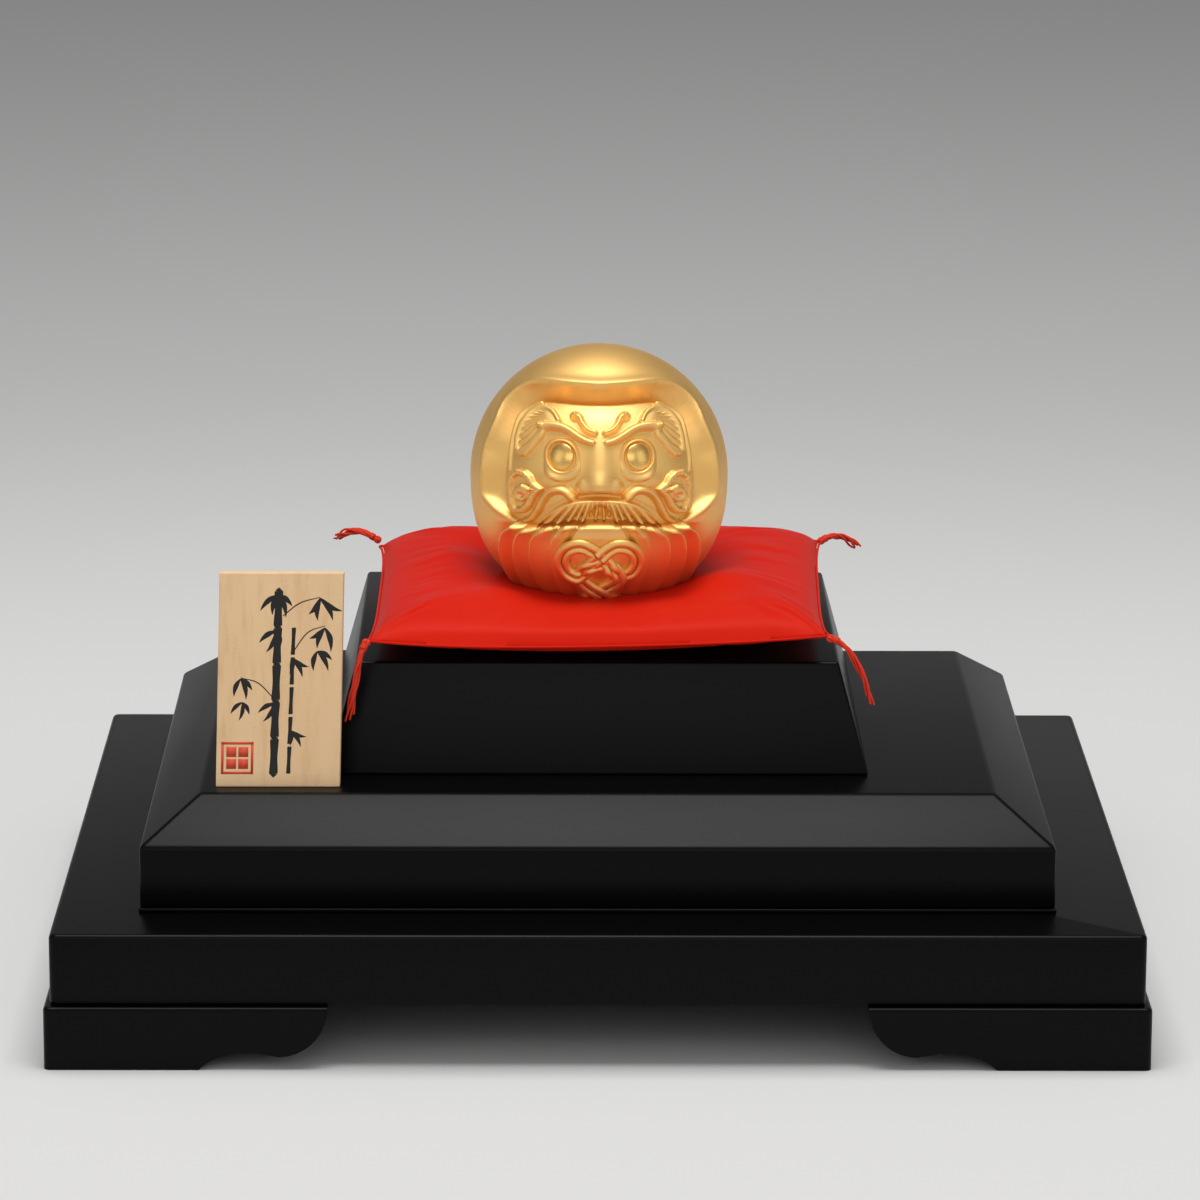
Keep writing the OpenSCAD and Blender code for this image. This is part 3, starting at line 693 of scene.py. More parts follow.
def moustache(side, z):
    """Combed tufts that fan out from under the nose, with a sunken tuft in the middle."""
    crown = 0.1 - 0.0235 * side**2 - 0.00015 * side**4
    foot = -4.75 - 0.0100 * side**2
    down = (crown - z) / np.maximum(crown - foot, 0.05)
    bearing = np.degrees(np.arctan2(side, 6 - z))
    tuft = bearing / 6.0 - 0.25
    across = tuft - np.floor(tuft)
    round_tuft = 1 - (2 * across - 1) ** 2
    own = np.sin(3.7 * np.floor(tuft) + 1.0)
    reach = 0.64 + 0.06 * own + 0.32 * round_tuft**0.8
    lip = smooth_step(down, -0.02, 0.10)
    body = 1.45 + 0.45 * smooth_step(1 - down, 0, 1)
    hair = (0.75 * (round_tuft - 0.6) + 0.18 * own) * smooth_step(down, 0.06, 0.5)
    hair += 0.05 * np.cos(2 * math.pi * bearing / 2.0) * smooth_step(down, 0.2, 0.5)
    middle = 1 - smooth_step(side / np.maximum(3.3 * down, 0.05), 0.75, 1.15)
    sunk = 1.0 * middle * smooth_step(down, 0.18, 0.45)
    shape = (body + hair) * lip * smooth_step(reach - down, 0, 0.07) * smooth_step(11.9 - side, 0, 0.5)
    return np.maximum(shape - sunk * lip, 0)


def face_height(x, z):
    """Height of the face's relief over its panel."""
    side = np.abs(x + 0.05 * np.sin(0.8 * z))
    lids, from_eye = eye_area(side, z)
    skin = 0.35 * np.exp(-((x / 8) ** 2) - ((z - 15) / 3.5) ** 2)
    skin += swelling(side, z, (9.8, 2.7), 3.0, 1.9, 0.75) * smooth_step(from_eye, 2.7, 4.4)
    skin += swelling(side, z, (3.2, 6.0), 1.5, 3.0, 0.35) * smooth_step(from_eye, 2.9, 4.0)
    skin -= swelling(side, z, (8.5, 11.6), 3.2, 0.8, 0.35)
    far, _ = along(side, z, curve(HOLLOW))
    skin -= 0.75 * np.exp(-((far / 0.85) ** 2))
    height = soft_max(skin + lids, brow_area(side, z), 0.08)
    height = soft_max(height, whorl(side, z), 0.05)
    height = soft_max(height, ridge(side, z, FOLD, 1.15, 1.5, 0.35), 0.08)
    height = soft_max(height, moustache(side, z), 0.04)
    return soft_max(height * RELIEF, nose(side, z), 0.18)


# %% Face panel
FACE_COLUMNS, FACE_ROWS = 366, 250
FACE_WIDE, FACE_FROM, FACE_TO = 19.3, -7.6, 18.4
face_data, s, t = grid_mesh(FACE_COLUMNS, FACE_ROWS)
x = s * FACE_WIDE
z = FACE_FROM + (t + 1) / 2 * (FACE_TO - FACE_FROM)
outside = -inside(x, z, PANEL)
y = -np.sqrt(np.clip(body_radius(z, PANEL_DEPTH) ** 2 - x * x, 1, None))
nx, ny, nz = normals_at(x, y, z, PANEL_DEPTH)
free = smooth_step(z, -4.2, -2.8)
height = face_height(x, z) * (1 - free * smooth_step(outside, -0.4, 0.1))
height -= 3.8 * free * smooth_step(outside, 0.02, 0.5) + 0.9 * smooth_step(z, 12, 18)
place_points(face_data, x + nx * height, y + ny * height, z + nz * height)
face = bmesh.new()
face.from_mesh(face_data)
bpy.data.meshes.remove(face_data)
face.verts.ensure_lookup_table()
bmesh.ops.delete(face, geom=[v for v, far in zip(list(face.verts), outside) if far > 0.55], context="VERTS")
bmesh.ops.recalc_face_normals(face, faces=face.faces)
if sum(f.normal.y for f in face.faces) > 0:
    bmesh.ops.reverse_faces(face, faces=face.faces)
piece("doll_face", face, gold, "doll", smooth=True)

# %% [markdown]
# ## Inset eyes and the cord knot
#
# The eyes are separate pins of gold, so each is its own domed piece in a seat. The knot on the belly is laid cord:
# a figure of eight woven through a loop, whose two ends cross and hang below. Each strand is a curve with a round
# section, and its height above the belly goes up and down so that it passes over and under.

# %% Eyes
PIN_BALL = 6.4
PIN_SINK = 5.0
for side, name in ((-1, "left"), (1, "right")):
    eye = bmesh.new()
    rim = math.asin(EYE_R / PIN_BALL)
    arc = [(PIN_BALL * math.sin(rim * i / 12), PIN_BALL * math.cos(rim * i / 12) - PIN_SINK) for i in range(13)]
    arc += [(EYE_R + 0.03, arc[-1][1] - 0.12), (EYE_R + 0.03, -0.45)]
    line = [eye.verts.new((r, 0, h)) for r, h in arc]
    edges = [eye.edges.new(pair) for pair in zip(line, line[1:])]
    bmesh.ops.spin(eye, geom=line + edges, cent=(0, 0, 0), axis=(0, 0, 1), angle=math.tau, steps=72,
                   use_merge=True)
    bmesh.ops.remove_doubles(eye, verts=eye.verts, dist=0.001)
    turn = Matrix.Rotation(side * math.radians(19.5), 4, "Z") @ Matrix.Rotation(math.radians(90 - 18.7), 4, "X")
    place = Matrix.Translation(DOLL) @ turn @ Matrix.Translation((0, 0, BODY_R - 2.6 * MM)) \
        @ Matrix.Rotation(side * math.radians(4), 4, "Y") @ Matrix.Scale(MM, 4)
    bmesh.ops.transform(eye, matrix=place, verts=eye.verts)
    bmesh.ops.recalc_face_normals(eye, faces=eye.faces)
    piece(f"doll_eye_{name}", eye, bright_gold, "doll", [f"doll_{name}_eye"])


# %% Round strands along curves
def strands(name, paths, radius, finish, body, nodes=(), sides=5, smooth_steps=6):
    """A piece made of round strands. Each path is a list of (place in metres, width factor)."""
    data = bpy.data.curves.new(name, "CURVE")
    data.dimensions = "3D"
    data.bevel_depth = radius
    data.bevel_resolution = sides
    data.use_fill_caps = True
    for path in paths:
        places = curve([tuple(place) + (width,) for place, width in path], smooth_steps)
        spline = data.splines.new("POLY")
        spline.points.add(len(places) - 1)
        spline.points.foreach_set("co", np.c_[places[:, :3], np.ones(len(places))].ravel())
        spline.points.foreach_set("radius", np.maximum(places[:, 3], 0.02))
    holder = bpy.data.objects.new(name + "_curve", data)
    bpy.context.scene.collection.objects.link(holder)
    mesh = bpy.data.meshes.new_from_object(holder.evaluated_get(bpy.context.evaluated_depsgraph_get()))
    bpy.data.objects.remove(holder)
    mesh.name = name
    mesh.materials.clear()
    return piece(name, mesh, finish, body, nodes)


def on_belly(x, z, height):
    """Place in metres of a point over the belly."""
    x, z = np.array([float(x)]), np.array([float(z)])
    height = height + MOUND * pleat_depth(z)
    y = -np.sqrt(np.clip(body_radius(z) ** 2 - x * x, 0.5, None))
    nx, ny, nz = normals_at(x, y, z)
    return DOLL + Vector(((x + nx * height)[0], (y + ny * height)[0], (z + nz * height)[0])) * MM


OVER, LEVEL, UNDER = 0.85, 0.42, 0.1
CROSSED = {OVER: UNDER, LEVEL: LEVEL, UNDER: OVER}


def other_side(path):
    """The path's mirror image, which passes over where the path passes under."""
    return [(-x, z, CROSSED[height]) for x, z, height in path]


EIGHT_HALF = [(0, -11.3, OVER), (-1.6, -12.9, LEVEL), (-2.3, -14.0, UNDER), (-3.4, -15.2, LEVEL),
              (-4.2, -15.6, OVER), (-6.1, -14.8, LEVEL), (-7.1, -12.4, LEVEL), (-6.0, -9.9, LEVEL),
              (-3.6, -9.0, LEVEL), (-1.6, -9.9, LEVEL)]
EIGHT = EIGHT_HALF + other_side(EIGHT_HALF) + EIGHT_HALF[:1]
TAIL = [(5.6, -23.3, 0.1, 0.55), (4.0, -22.7, 0.25, 0.9), (2.0, -21.2, 0.35, 1.0)]
LOOP_HALF = [(0, -19.3, OVER), (-2.6, -17.6, LEVEL), (-3.7, -15.9, UNDER), (-3.0, -14.2, LEVEL),
             (-2.0, -13.4, OVER)]
LOOP = TAIL + LOOP_HALF + [(0, -12.9, LEVEL)] + other_side(LOOP_HALF[::-1])
LOOP += [(-x, z, height, width) for x, z, height, width in reversed(TAIL)]
CORD_R = 0.78


def doubled(path):
    """Two cords side by side along one line on the belly."""
    line = np.array([p if len(p) == 4 else p + (1.0,) for p in path])
    way = np.gradient(line[:, :2], axis=0)
    way /= np.hypot(way[:, 0], way[:, 1])[:, None]
    return [[(on_belly(x - side * dz * w * CORD_R, z + side * dx * w * CORD_R, h), w)
             for (x, z, h, w), (dx, dz) in zip(line, way)] for side in (-0.95, 0.95)]


strands("doll_belly_knot", doubled(EIGHT) + doubled(LOOP), CORD_R * MM, gold, "doll", ["belly_knot"],
        sides=6)

# %% [markdown]
# ## The silk cushion
#
# The cushion is two panels of silk sewn together and stuffed. It starts as two crowned grids that meet at the
# seam. The doll's weight is drawn into that shape: the silk follows the plain form of the doll's underside and
# rises round it in a soft roll, with a saddle in front, and shallow folds run outwards from the dent. Last, the
# cloth solver inflates it against the doll and the pedestal. Its movement is capped, so it only softens the drawn
# shape. The silk is kept clear of the plain form only. The cord knot and parts of the chased relief stand proud of
# that form and cut into the silk at rest, which is a known fault.

# %% Silk
silk = Finish("red_silk", Specular_IOR_Level=0.16, Specular_Tint=colour(1.0, 0.22, 0.12), Sheen_Weight=0.05,
              Sheen_Roughness=0.4, Sheen_Tint=colour(1.0, 0.12, 0.06))
SPUN = 2 * math.pi / 0.00042
split = silk.node("SeparateXYZ", None, {"Vector": silk.place})
warp = Value(silk, split.socket.node.outputs[0]) * SPUN
weft = Value(silk, split.socket.node.outputs[1]) * SPUN
slubs = silk.noise(0.0016, 2, silk.stretched(0.12, 1, 1))
dye = silk.noise(0.02, 3)
weave = warp.sine() * weft.sine()
silk.set(Base_Color=silk.blend(dye * 0.6 + slubs * 0.4, colour(0.56, 0.010, 0.004), colour(0.68, 0.016, 0.006)),
         Roughness=0.42 + slubs * 0.12)
silk.bump(weave * 0.5 + slubs, 0.25, 0.00003)
thread = Finish("red_thread", Specular_IOR_Level=0.15, Roughness=0.6, Sheen_Weight=0.1, Sheen_Roughness=0.4,
                Sheen_Tint=colour(1.0, 0.3, 0.2))
thread.set(Base_Color=thread.blend(thread.noise(0.0012, 2), colour(0.68, 0.030, 0.012),
                                   colour(0.80, 0.060, 0.028)))

# %% Cushion shape
CUSHION_X = (SILK_HIGH[0] - SILK_LOW[0]) / 2 / MM
CUSHION_Y = (SILK_HIGH[1] - SILK_LOW[1]) / 2 / MM
SEAM_Z = 74.4
CROWN = 5.4
CELLS = 90


def underside(far):
    """Height of the doll's underside at a distance from its axis, in millimetres above the table."""
    depth = DOWN[0] * np.clip(1 - np.clip(far / R, 0, 1) ** DOWN[1], 0, 1) ** (1 / DOWN[1])
    return DOLL.z / MM - np.minimum(depth, BASE_DROP / MM)


def cushion_plan(s, t):
    """Where a point of a square panel lies when the sides have pulled in between the corners."""
    x = s * (CUSHION_X - 1.2 * (1 - t**4) * np.abs(s) ** 6)
    y = t * (CUSHION_Y - 1.2 * (1 - s**4) * np.abs(t) ** 6)
    return x + 0.6 * (1 + s) * (1 + t), y


def seam_height(s, t):
    """The seam wanders a little: lower at the front left, higher at the right."""
    return (SEAM_Z + 0.5 * s + 0.35 * np.sin(2.4 * s + 1.1 * t) * np.abs(t) ** 3
            - 1.4 * (1 - s**4) * smooth_step(-t, 0.3, 1.0))


def cushion_top(s, t):
    x, y = cushion_plan(s, t)
    full = np.sqrt(np.clip((1 - s**8) * (1 - t**8), 0, 1))
    far = np.hypot(x - DOLL.x / MM, y)
    bearing = np.arctan2(y, x - DOLL.x / MM)
    seam = seam_height(s, t)
    crown = CROWN + 0.6 * smooth_step(-t, 0.45, 0.95) + 0.8 * smooth_step(t, 0.2, 0.7)
    plain = seam + crown * full**0.9
    folds = 0.75 * np.cos(4 * bearing + 0.6) + 0.5 * np.sin(7 * bearing - 0.8) + 0.3 * np.cos(11 * bearing)
    plain += folds * smooth_step(far, 15, 26) * (1 - smooth_step(far, 30, 47)) * full
    plain -= 3.4 * np.exp(-((x / 15) ** 2)) * smooth_step(-y, 8, 20) * (1 - smooth_step(-y, 33, 42))
    rise = smooth_step(far, 15, 33 + 2.5 * np.sin(3 * bearing + 0.4))
    bowl = underside(np.minimum(far, 17.5)) - 0.7
    dented = bowl + (plain - bowl) * rise
    z = np.minimum(np.where(far < 34, dented, plain), plain)
    near = underside(far) - 0.45
    return x, y, np.where(far < 25.5, np.minimum(z, near), z)


def cushion_bottom(s, t):
    x, y = cushion_plan(s, t)
    full = np.sqrt(np.clip((1 - s**2) * (1 - t**2), 0, 1))
    return x, y, np.maximum(SEAT_Z / MM + 0.15, seam_height(s, t) - 8.0 * full**2.4)


cushion = bmesh.new()
for shape in (cushion_top, cushion_bottom):
    panel, s, t = grid_mesh(CELLS, CELLS)
    s, t = np.sin(s * math.pi / 2 * 0.999) * 0.35 + s * 0.65, np.sin(t * math.pi / 2 * 0.999) * 0.35 + t * 0.65
    x, y, z = shape(s, t)
    panel.vertices.foreach_set("co", np.c_[x, y, z].ravel())
    cushion.from_mesh(panel)
    bpy.data.meshes.remove(panel)
sewn = cushion.verts.layers.deform.verify()
for v in cushion.verts:
    if v.is_boundary:
        v[sewn][0] = 1.0
bmesh.ops.remove_doubles(cushion, verts=cushion.verts, dist=0.02)
bmesh.ops.recalc_face_normals(cushion, faces=cushion.faces)
bmesh.ops.scale(cushion, vec=(MM, MM, MM), verts=cushion.verts)
cushion_piece = piece("silk_cushion", cushion, silk, "cushion",
                      ["cushion_top_panel", "cushion_bottom_panel", "cushion_wadding"])

# %% Stuffing the cushion with the cloth solver
SIM_SCALE = 20
SIM_FRAMES = 20
SIM_CAP = 0.9 * MM
TOP_PANEL_FROM = (SEAM_Z - 0.2) * MM


def collider(name, data):
    made = bpy.data.objects.new(name, data)
    bpy.context.scene.collection.objects.link(made)
    made.modifiers.new("collision", "COLLISION")
    made.collision.thickness_outer = 0.004
    return made


def stuff(made):
    """Inflates a sewn shape against the doll and the pedestal, and writes the result into its mesh."""
    rest = np.empty(len(made.data.vertices) * 3)
    made.data.vertices.foreach_get("co", rest)
    work_data = made.data.copy()
    work_data.vertices.foreach_set("co", rest * SIM_SCALE)
    work = bpy.data.objects.new("cushion_work", work_data)
    bpy.context.scene.collection.objects.link(work)
    work.vertex_groups.new(name="sewn")
    cloth = work.modifiers.new("cloth", "CLOTH")
    cloth.settings.quality = 6
    cloth.settings.mass = 0.3
    cloth.settings.tension_stiffness = cloth.settings.compression_stiffness = 15
    cloth.settings.bending_stiffness = 0.8
    cloth.settings.effector_weights.gravity = 0
    cloth.settings.use_pressure = True
    cloth.settings.uniform_pressure_force = 3.0
    cloth.settings.shrink_min = -0.03
    cloth.settings.vertex_group_mass = "sewn"
    cloth.collision_settings.distance_min = 0.004
    cloth.point_cache.frame_start, cloth.point_cache.frame_end = 1, SIM_FRAMES
    ball, s, t = grid_mesh(64, 40)
    turn = LOWEST + (t + 1) / 2 * (0.4 - LOWEST)
    radius, z = section(turn, -0.35)
    place_points(ball, radius * np.sin(s * math.pi), radius * np.cos(s * math.pi), z)
    bed, s, t = grid_mesh(20, 20)
    bed.vertices.foreach_set("co", np.c_[s * 0.06, t * 0.06, np.full(len(s), SEAT_Z - 0.0001)].ravel())
    for data in (ball, bed):
        data.transform(Matrix.Scale(SIM_SCALE, 4))
    helpers = [collider("doll_proxy", ball), collider("bed_proxy", bed)]
    for frame_number in range(1, SIM_FRAMES + 1):
        bpy.context.scene.frame_set(frame_number)
    settled = bpy.data.meshes.new_from_object(work.evaluated_get(bpy.context.evaluated_depsgraph_get()))
    moved = np.empty(len(rest))
    settled.vertices.foreach_get("co", moved)
    bpy.context.scene.frame_set(1)
    for helper in helpers + [work]:
        bpy.data.objects.remove(helper)
    shift = (moved / SIM_SCALE - rest).reshape(-1, 3)
    far = np.maximum(np.linalg.norm(shift, axis=1), 1e-9)
    shift *= (SIM_CAP * np.tanh(far / SIM_CAP) / far)[:, None]
    places = rest.reshape(-1, 3) + shift
    under = np.hypot(places[:, 0] - DOLL.x, places[:, 1]) / MM
    low = places[:, 2] < DOLL.z
    limit = (underside(under) - 0.4) * MM
    places[:, 2] = np.where(low & (under < 25.6) & (rest.reshape(-1, 3)[:, 2] > TOP_PANEL_FROM),
                            np.minimum(places[:, 2], limit), places[:, 2])
    places[:, 2] = np.maximum(places[:, 2], SEAT_Z + 0.0001)
    made.data.vertices.foreach_set("co", places.ravel())
    made.data.update()
    print(f"stuffed: moved by {far.mean() / MM:.2f} mm on average, {far.max() / MM:.2f} mm at most")


stuff(cushion_piece)
finer = cushion_piece.modifiers.new("finer", "SUBSURF")
finer.levels = finer.render_levels = 1

# %% Seam
def seam_path():
    around = []
    for k in range(4):
        for f in np.linspace(-1, 1, 24, endpoint=False):
            around.append(((f, -1), (1, f), (-f, 1), (-1, -f))[k])
    return around + around[:1]


places = []
for s, t in seam_path():
    s, t = np.float64(s), np.float64(t)
    x, y = cushion_plan(s, t)
    places.append((Vector((x, y, seam_height(s, t))) * MM, 1.0))
strands("cushion_seam", [places], 0.26 * MM, silk, "cushion", sides=2)

# %% Tassels
THREAD = 0.24 * MM
THREADS = 7
TWIST = 7.0
WRAP_TURNS, WRAP_LONG, WRAP_R = 3, 0.9, 0.55
tassel_rng = np.random.default_rng(11)


def tassel(name, root, bend, tip, spread, fall):
    """A bound knot at the cushion's corner, a wrapped neck and loose threads that hang from it."""
    root, bend, tip = (Vector(p) * MM for p in (root, bend, tip))

    def at(t):
        return root * (1 - t) ** 2 + bend * 2 * t * (1 - t) + tip * t * t

    paths = []
    for i in range(THREADS):
        start = 0.22 * math.sqrt(i / 8)
        wander = tassel_rng.normal(0, 1, 3)
        reach = tassel_rng.uniform(0.86, 1.0)
        path = []
        for k in range(9):
            t = 0.10 + (reach - 0.10) * k / 8
            turn = i * 2.399 + TWIST * t
            ahead = (at(min(t + 0.05, 1)) - at(t - 0.05)).normalized()
            across = ahead.cross(Vector((0.1, 1, 0.2))).normalized()
            over = ahead.cross(across)
            open_out = (0.55 + spread * max(t - 0.14, 0) ** 1.4 * (0.35 + start)) * MM
            shift = (across * math.cos(turn) + over * math.sin(turn)) * open_out * (0.4 + 2 * start)
            waver = Vector(wander) * 0.35 * MM * t * math.sin(3 + 5 * t + i)
            path.append((at(t) + shift + waver - Vector((0, 0, fall * MM * t**3)), 1.0 if k < 8 else 0.8))
        paths.append(path)
    neck, ahead = at(0.14), (at(0.2) - at(0.1)).normalized()
    across = ahead.cross(Vector((0.1, 1, 0.2))).normalized()
    over = ahead.cross(across)
    wrap = []
    for k in range(WRAP_TURNS * 8 + 1):
        turn = math.tau * k / 8
        wrap.append((neck + ahead * (WRAP_LONG * (k / (WRAP_TURNS * 8) - 0.5)) * MM
                     + (across * math.cos(turn) + over * math.sin(turn)) * WRAP_R * MM, 1.0))
    paths.append(wrap)
    for ring in range(3):
        path = []
        lean = Matrix.Rotation(ring * math.tau / 6, 3, ahead)
        for k in range(13):
            turn = math.tau * k / 12
            loop = ahead * math.cos(turn) * 0.55 + across * math.sin(turn) * 0.6
            path.append((at(0.04) + lean @ loop * MM, 1.2))
        paths.append(path)
    return strands(name, paths, THREAD, thread, "cushion", [name], sides=2, smooth_steps=3)


EDGE_X, EDGE_Y = CUSHION_X + 0.2, CUSHION_Y + 0.2
tassel("tassel_front_left", (-EDGE_X, -EDGE_Y, 74), (-47.5, -46.5, 71.2), (-48.4, -46, 58.7), 0.5, 0.6)
tassel("tassel_front_right", (EDGE_X, -EDGE_Y, 74.8), (51, -45, 74.4), (54, -44, 60.7), 0.5, 0.6)
tassel("tassel_rear_left", (-EDGE_X, EDGE_Y, 74.6), (-51, 47, 77.7), (-55, 49, 74.2), 1.6, 0.5)
tassel("tassel_rear_right", (EDGE_X + 2.1, EDGE_Y, 74.6), (51, 46, 76.8), (55.6, 48, 72.6), 1.6, 0.5)

# %% [markdown]
# ## The cypress plaque
#
# The plaque is a small split board of cypress, planed on its face. Its brushwork is ink that stands a hair proud:
# stalks of bamboo in segments, with pointed leaves, and a red square stamp with a plain pattern of bars.

# %% Cypress
cypress = Finish("cypress", Specular_IOR_Level=0.35)
ripple = cypress.noise(0.004, 3, cypress.stretched(0.8, 1, 0.06))
grain_lines = cypress.noise(0.0016, 3, cypress.stretched(1, 1, 0.035))
flecks = cypress.noise(0.0005, 2, cypress.stretched(0.35, 1, 2.2))
tone = cypress.blend(ripple, colour(0.82, 0.52, 0.27), colour(0.92, 0.65, 0.38))
tone = cypress.blend(grain_lines.between(0.45, 0.75) * 0.5, tone, colour(0.72, 0.42, 0.19))
cypress.set(Base_Color=cypress.blend(flecks.between(0.5, 0.8) * 0.25, tone, colour(0.95, 0.74, 0.48)),
            Roughness=0.55 + ripple * 0.1)
cypress.bump(flecks * 0.5 + grain_lines, 0.35, 0.00008)
ink = Finish("ink", Base_Color=colour(0.012, 0.011, 0.011), Roughness=0.45, Specular_IOR_Level=0.35)
stamp_red = Finish("stamp_red", Base_Color=colour(0.74, 0.085, 0.040), Roughness=0.55, Specular_IOR_Level=0.25)

# %% Plaque
PLAQUE_W, PLAQUE_L, PLAQUE_T = 24.2, 42.0, 4.0
LEAN, SKEW = math.radians(8.5), math.radians(1.2)
PLAQUE_FOOT = Vector((-62.4, PLAQUE_LOW[1] / MM, PLAQUE_LOW[2] / MM))


def on_plaque(x, along_face, out):
    """Place in metres of a point on the plaque's face: across, up the face, and out of it."""
    y = along_face * math.sin(LEAN) - out * math.cos(LEAN)
    z = along_face * math.cos(LEAN) + out * math.sin(LEAN)
    return (PLAQUE_FOOT + Vector((x + along_face * math.cos(LEAN) * math.tan(SKEW), y, z))) * MM


board = block((-PLAQUE_W / 2, -PLAQUE_T, 0), (PLAQUE_W / 2, 0, PLAQUE_L))
bevelled(board, list(board.edges), 0.28, 3)
for v in board.verts:
    v.co = on_plaque(v.co.x, v.co.z, v.co.y)
for v in board.verts:
    v.co.z = max(v.co.z, PLAQUE_LOW[2])
bmesh.ops.recalc_face_normals(board, faces=board.faces)
piece("cypress_plaque", board, cypress, "plaque", ["plaque_board"], smooth=False)

# %% Brushwork and stamp
PROUD = 0.03


def on_face(name, mesh, finish):
    """A piece from a mesh drawn flat in millimetres: across, out of the face, and up. It is pressed thin."""
    for v in mesh.vertices:
        v.co = on_plaque(v.co.x, v.co.z, PROUD * v.co.y)
    mesh.update()
    return piece(name, mesh, finish, "plaque")


def stalk(x, low, high, wide, lean):
    """Segments of one bamboo stalk, a little thicker at each joint."""
    strokes, up = [], low
    step = (high - low) / 5
    for k in range(5):
        x_low, x_high = x + lean * (up - low), x + lean * (up + step - low)
        strokes.append([((x_low, 0, up + 0.25), wide * 0.9), ((x_low, 0, up + 0.6), wide),
                        (((x_low + x_high) / 2, 0, up + step / 2), wide * 0.82),
                        ((x_high, 0, up + step - 0.6), wide), ((x_high, 0, up + step - 0.25), wide * 0.85)])
        up += step
    return strokes


LEAF_WIDTHS = [(0, 0.025), (0.2, 0.08), (0.45, 0.115), (0.75, 0.07), (1, 0.008)]


def leaves(x, up, size, bearings):
    """A spray of pointed leaves from one twig."""
    strokes = []
    for k, bearing in enumerate(bearings):
        turn = math.radians(bearing)
        way = Vector((math.sin(turn), 0, math.cos(turn)))
        side = Vector((way.z, 0, -way.x)) * (0.10 if k % 2 else -0.10)
        long = size * (1 - 0.12 * (k % 3))
        leaf = []
        for f, width in LEAF_WIDTHS:
            place = Vector((x, 0, up)) + way * long * f + side * long * math.sin(math.pi * f)
            leaf.append((tuple(place), width * size))
        strokes.append(leaf)
    return strokes


bamboo = stalk(-0.9, 2.4, 38.6, 0.85, 0.012) + stalk(2.0, 2.4, 31.5, 0.42, 0.02)
for x, up, size, bearings in ((-0.6, 37.6, 4.6, (160, 195, 128, 228)), (-0.8, 30.6, 4.6, (205, 235, 170)),
                              (2.2, 25.4, 4.4, (150, 118, 185)), (-0.9, 16.4, 4.2, (212, 240, 180)),
                              (2.1, 11.2, 4.0, (146, 112, 178)), (7.6, 37.0, 5.0, (150, 185, 215, 120)),
                              (8.6, 31.2, 4.8, (165, 200, 235)), (7.2, 26.6, 4.4, (150, 190, 120)),
                              (-7.6, 21.2, 4.2, (165, 200, 135)), (-7.2, 16.6, 3.6, (190, 225, 150))):
    bamboo += leaves(x, up, size, bearings)
bamboo += [[((0.4, 0, 33.5), 0.10), ((3.6, 0, 36.0), 0.13), ((7.6, 0, 37.2), 0.08)],
           [((2.2, 0, 26.0), 0.10), ((5.2, 0, 30.2), 0.12), ((8.6, 0, 31.6), 0.08)],
           [((-1.2, 0, 17.5), 0.10), ((-4.2, 0, 20.4), 0.12), ((-7.6, 0, 21.4), 0.08)]]
strokes = strands("ink_strokes", bamboo, 1.0, ink, "plaque", sides=2)
drawn = strokes.data.copy()
bpy.data.objects.remove(strokes)
drawn.materials.clear()
on_face("brushed_bamboo", drawn, ink)

STAMP_X, STAMP_UP, STAMP = -8.0, 5.7, 6.3
stamp = bmesh.new()
bars = [((-0.5, -0.5), (0.5, -0.42)), ((-0.5, 0.42), (0.5, 0.5)),
        ((-0.5, -0.5), (-0.42, 0.5)), ((0.42, -0.5), (0.5, 0.5))]
for i in (0, 1):
    for k in (0, 1):
        bars.append(((-0.34 + 0.37 * i, -0.34 + 0.37 * k), (-0.03 + 0.37 * i, -0.03 + 0.37 * k)))
for low, high in bars:
    made = bmesh.ops.create_cube(stamp, size=1)["verts"]
    bmesh.ops.scale(stamp, vec=((high[0] - low[0]) * STAMP, 1, (high[1] - low[1]) * STAMP), verts=made)
    bmesh.ops.translate(stamp, vec=(STAMP_X + (low[0] + high[0]) / 2 * STAMP, 0,
                                    STAMP_UP + (low[1] + high[1]) / 2 * STAMP), verts=made)
stamp_mesh = bpy.data.meshes.new("stamp")
stamp.to_mesh(stamp_mesh)
stamp.free()
on_face("red_stamp", stamp_mesh, stamp_red)

# %% [markdown]
# ## CAD pieces that stay
#
# The dowels, screws, ballast, base plate and the plaque's prop keep their CAD shapes, because they are plain
# machined or hidden parts. They only get real finishes.

# %% Finishes for the CAD pieces
steel = Finish("turned_steel", Metallic=1.0)
steel.set(Base_Color=colour(0.46, 0.46, 0.47), Roughness=0.3 + steel.noise(0.0004, 2) * 0.15)
dowel = Finish("dowel_wood")
dowel.set(Base_Color=dowel.blend(dowel.noise(0.002, 3, dowel.stretched(1, 1, 0.1)), colour(0.42, 0.25, 0.12),
                                 colour(0.55, 0.36, 0.19)), Roughness=0.6 + dowel.noise(0.001) * 0.1)
lead = Finish("ballast", Metallic=1.0)
lead.set(Base_Color=colour(0.30, 0.31, 0.33), Roughness=0.45 + lead.noise(0.002, 3) * 0.2)
for node, finish in (("foot_dowels", dowel), ("board_screws", steel), ("pedestal_screws", steel),
                     ("doll_base_weight", lead), ("doll_base_plate", gold), ("plaque_prop", cypress)):
    for material_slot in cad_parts[node].material_slots:
        material_slot.material = finish.material
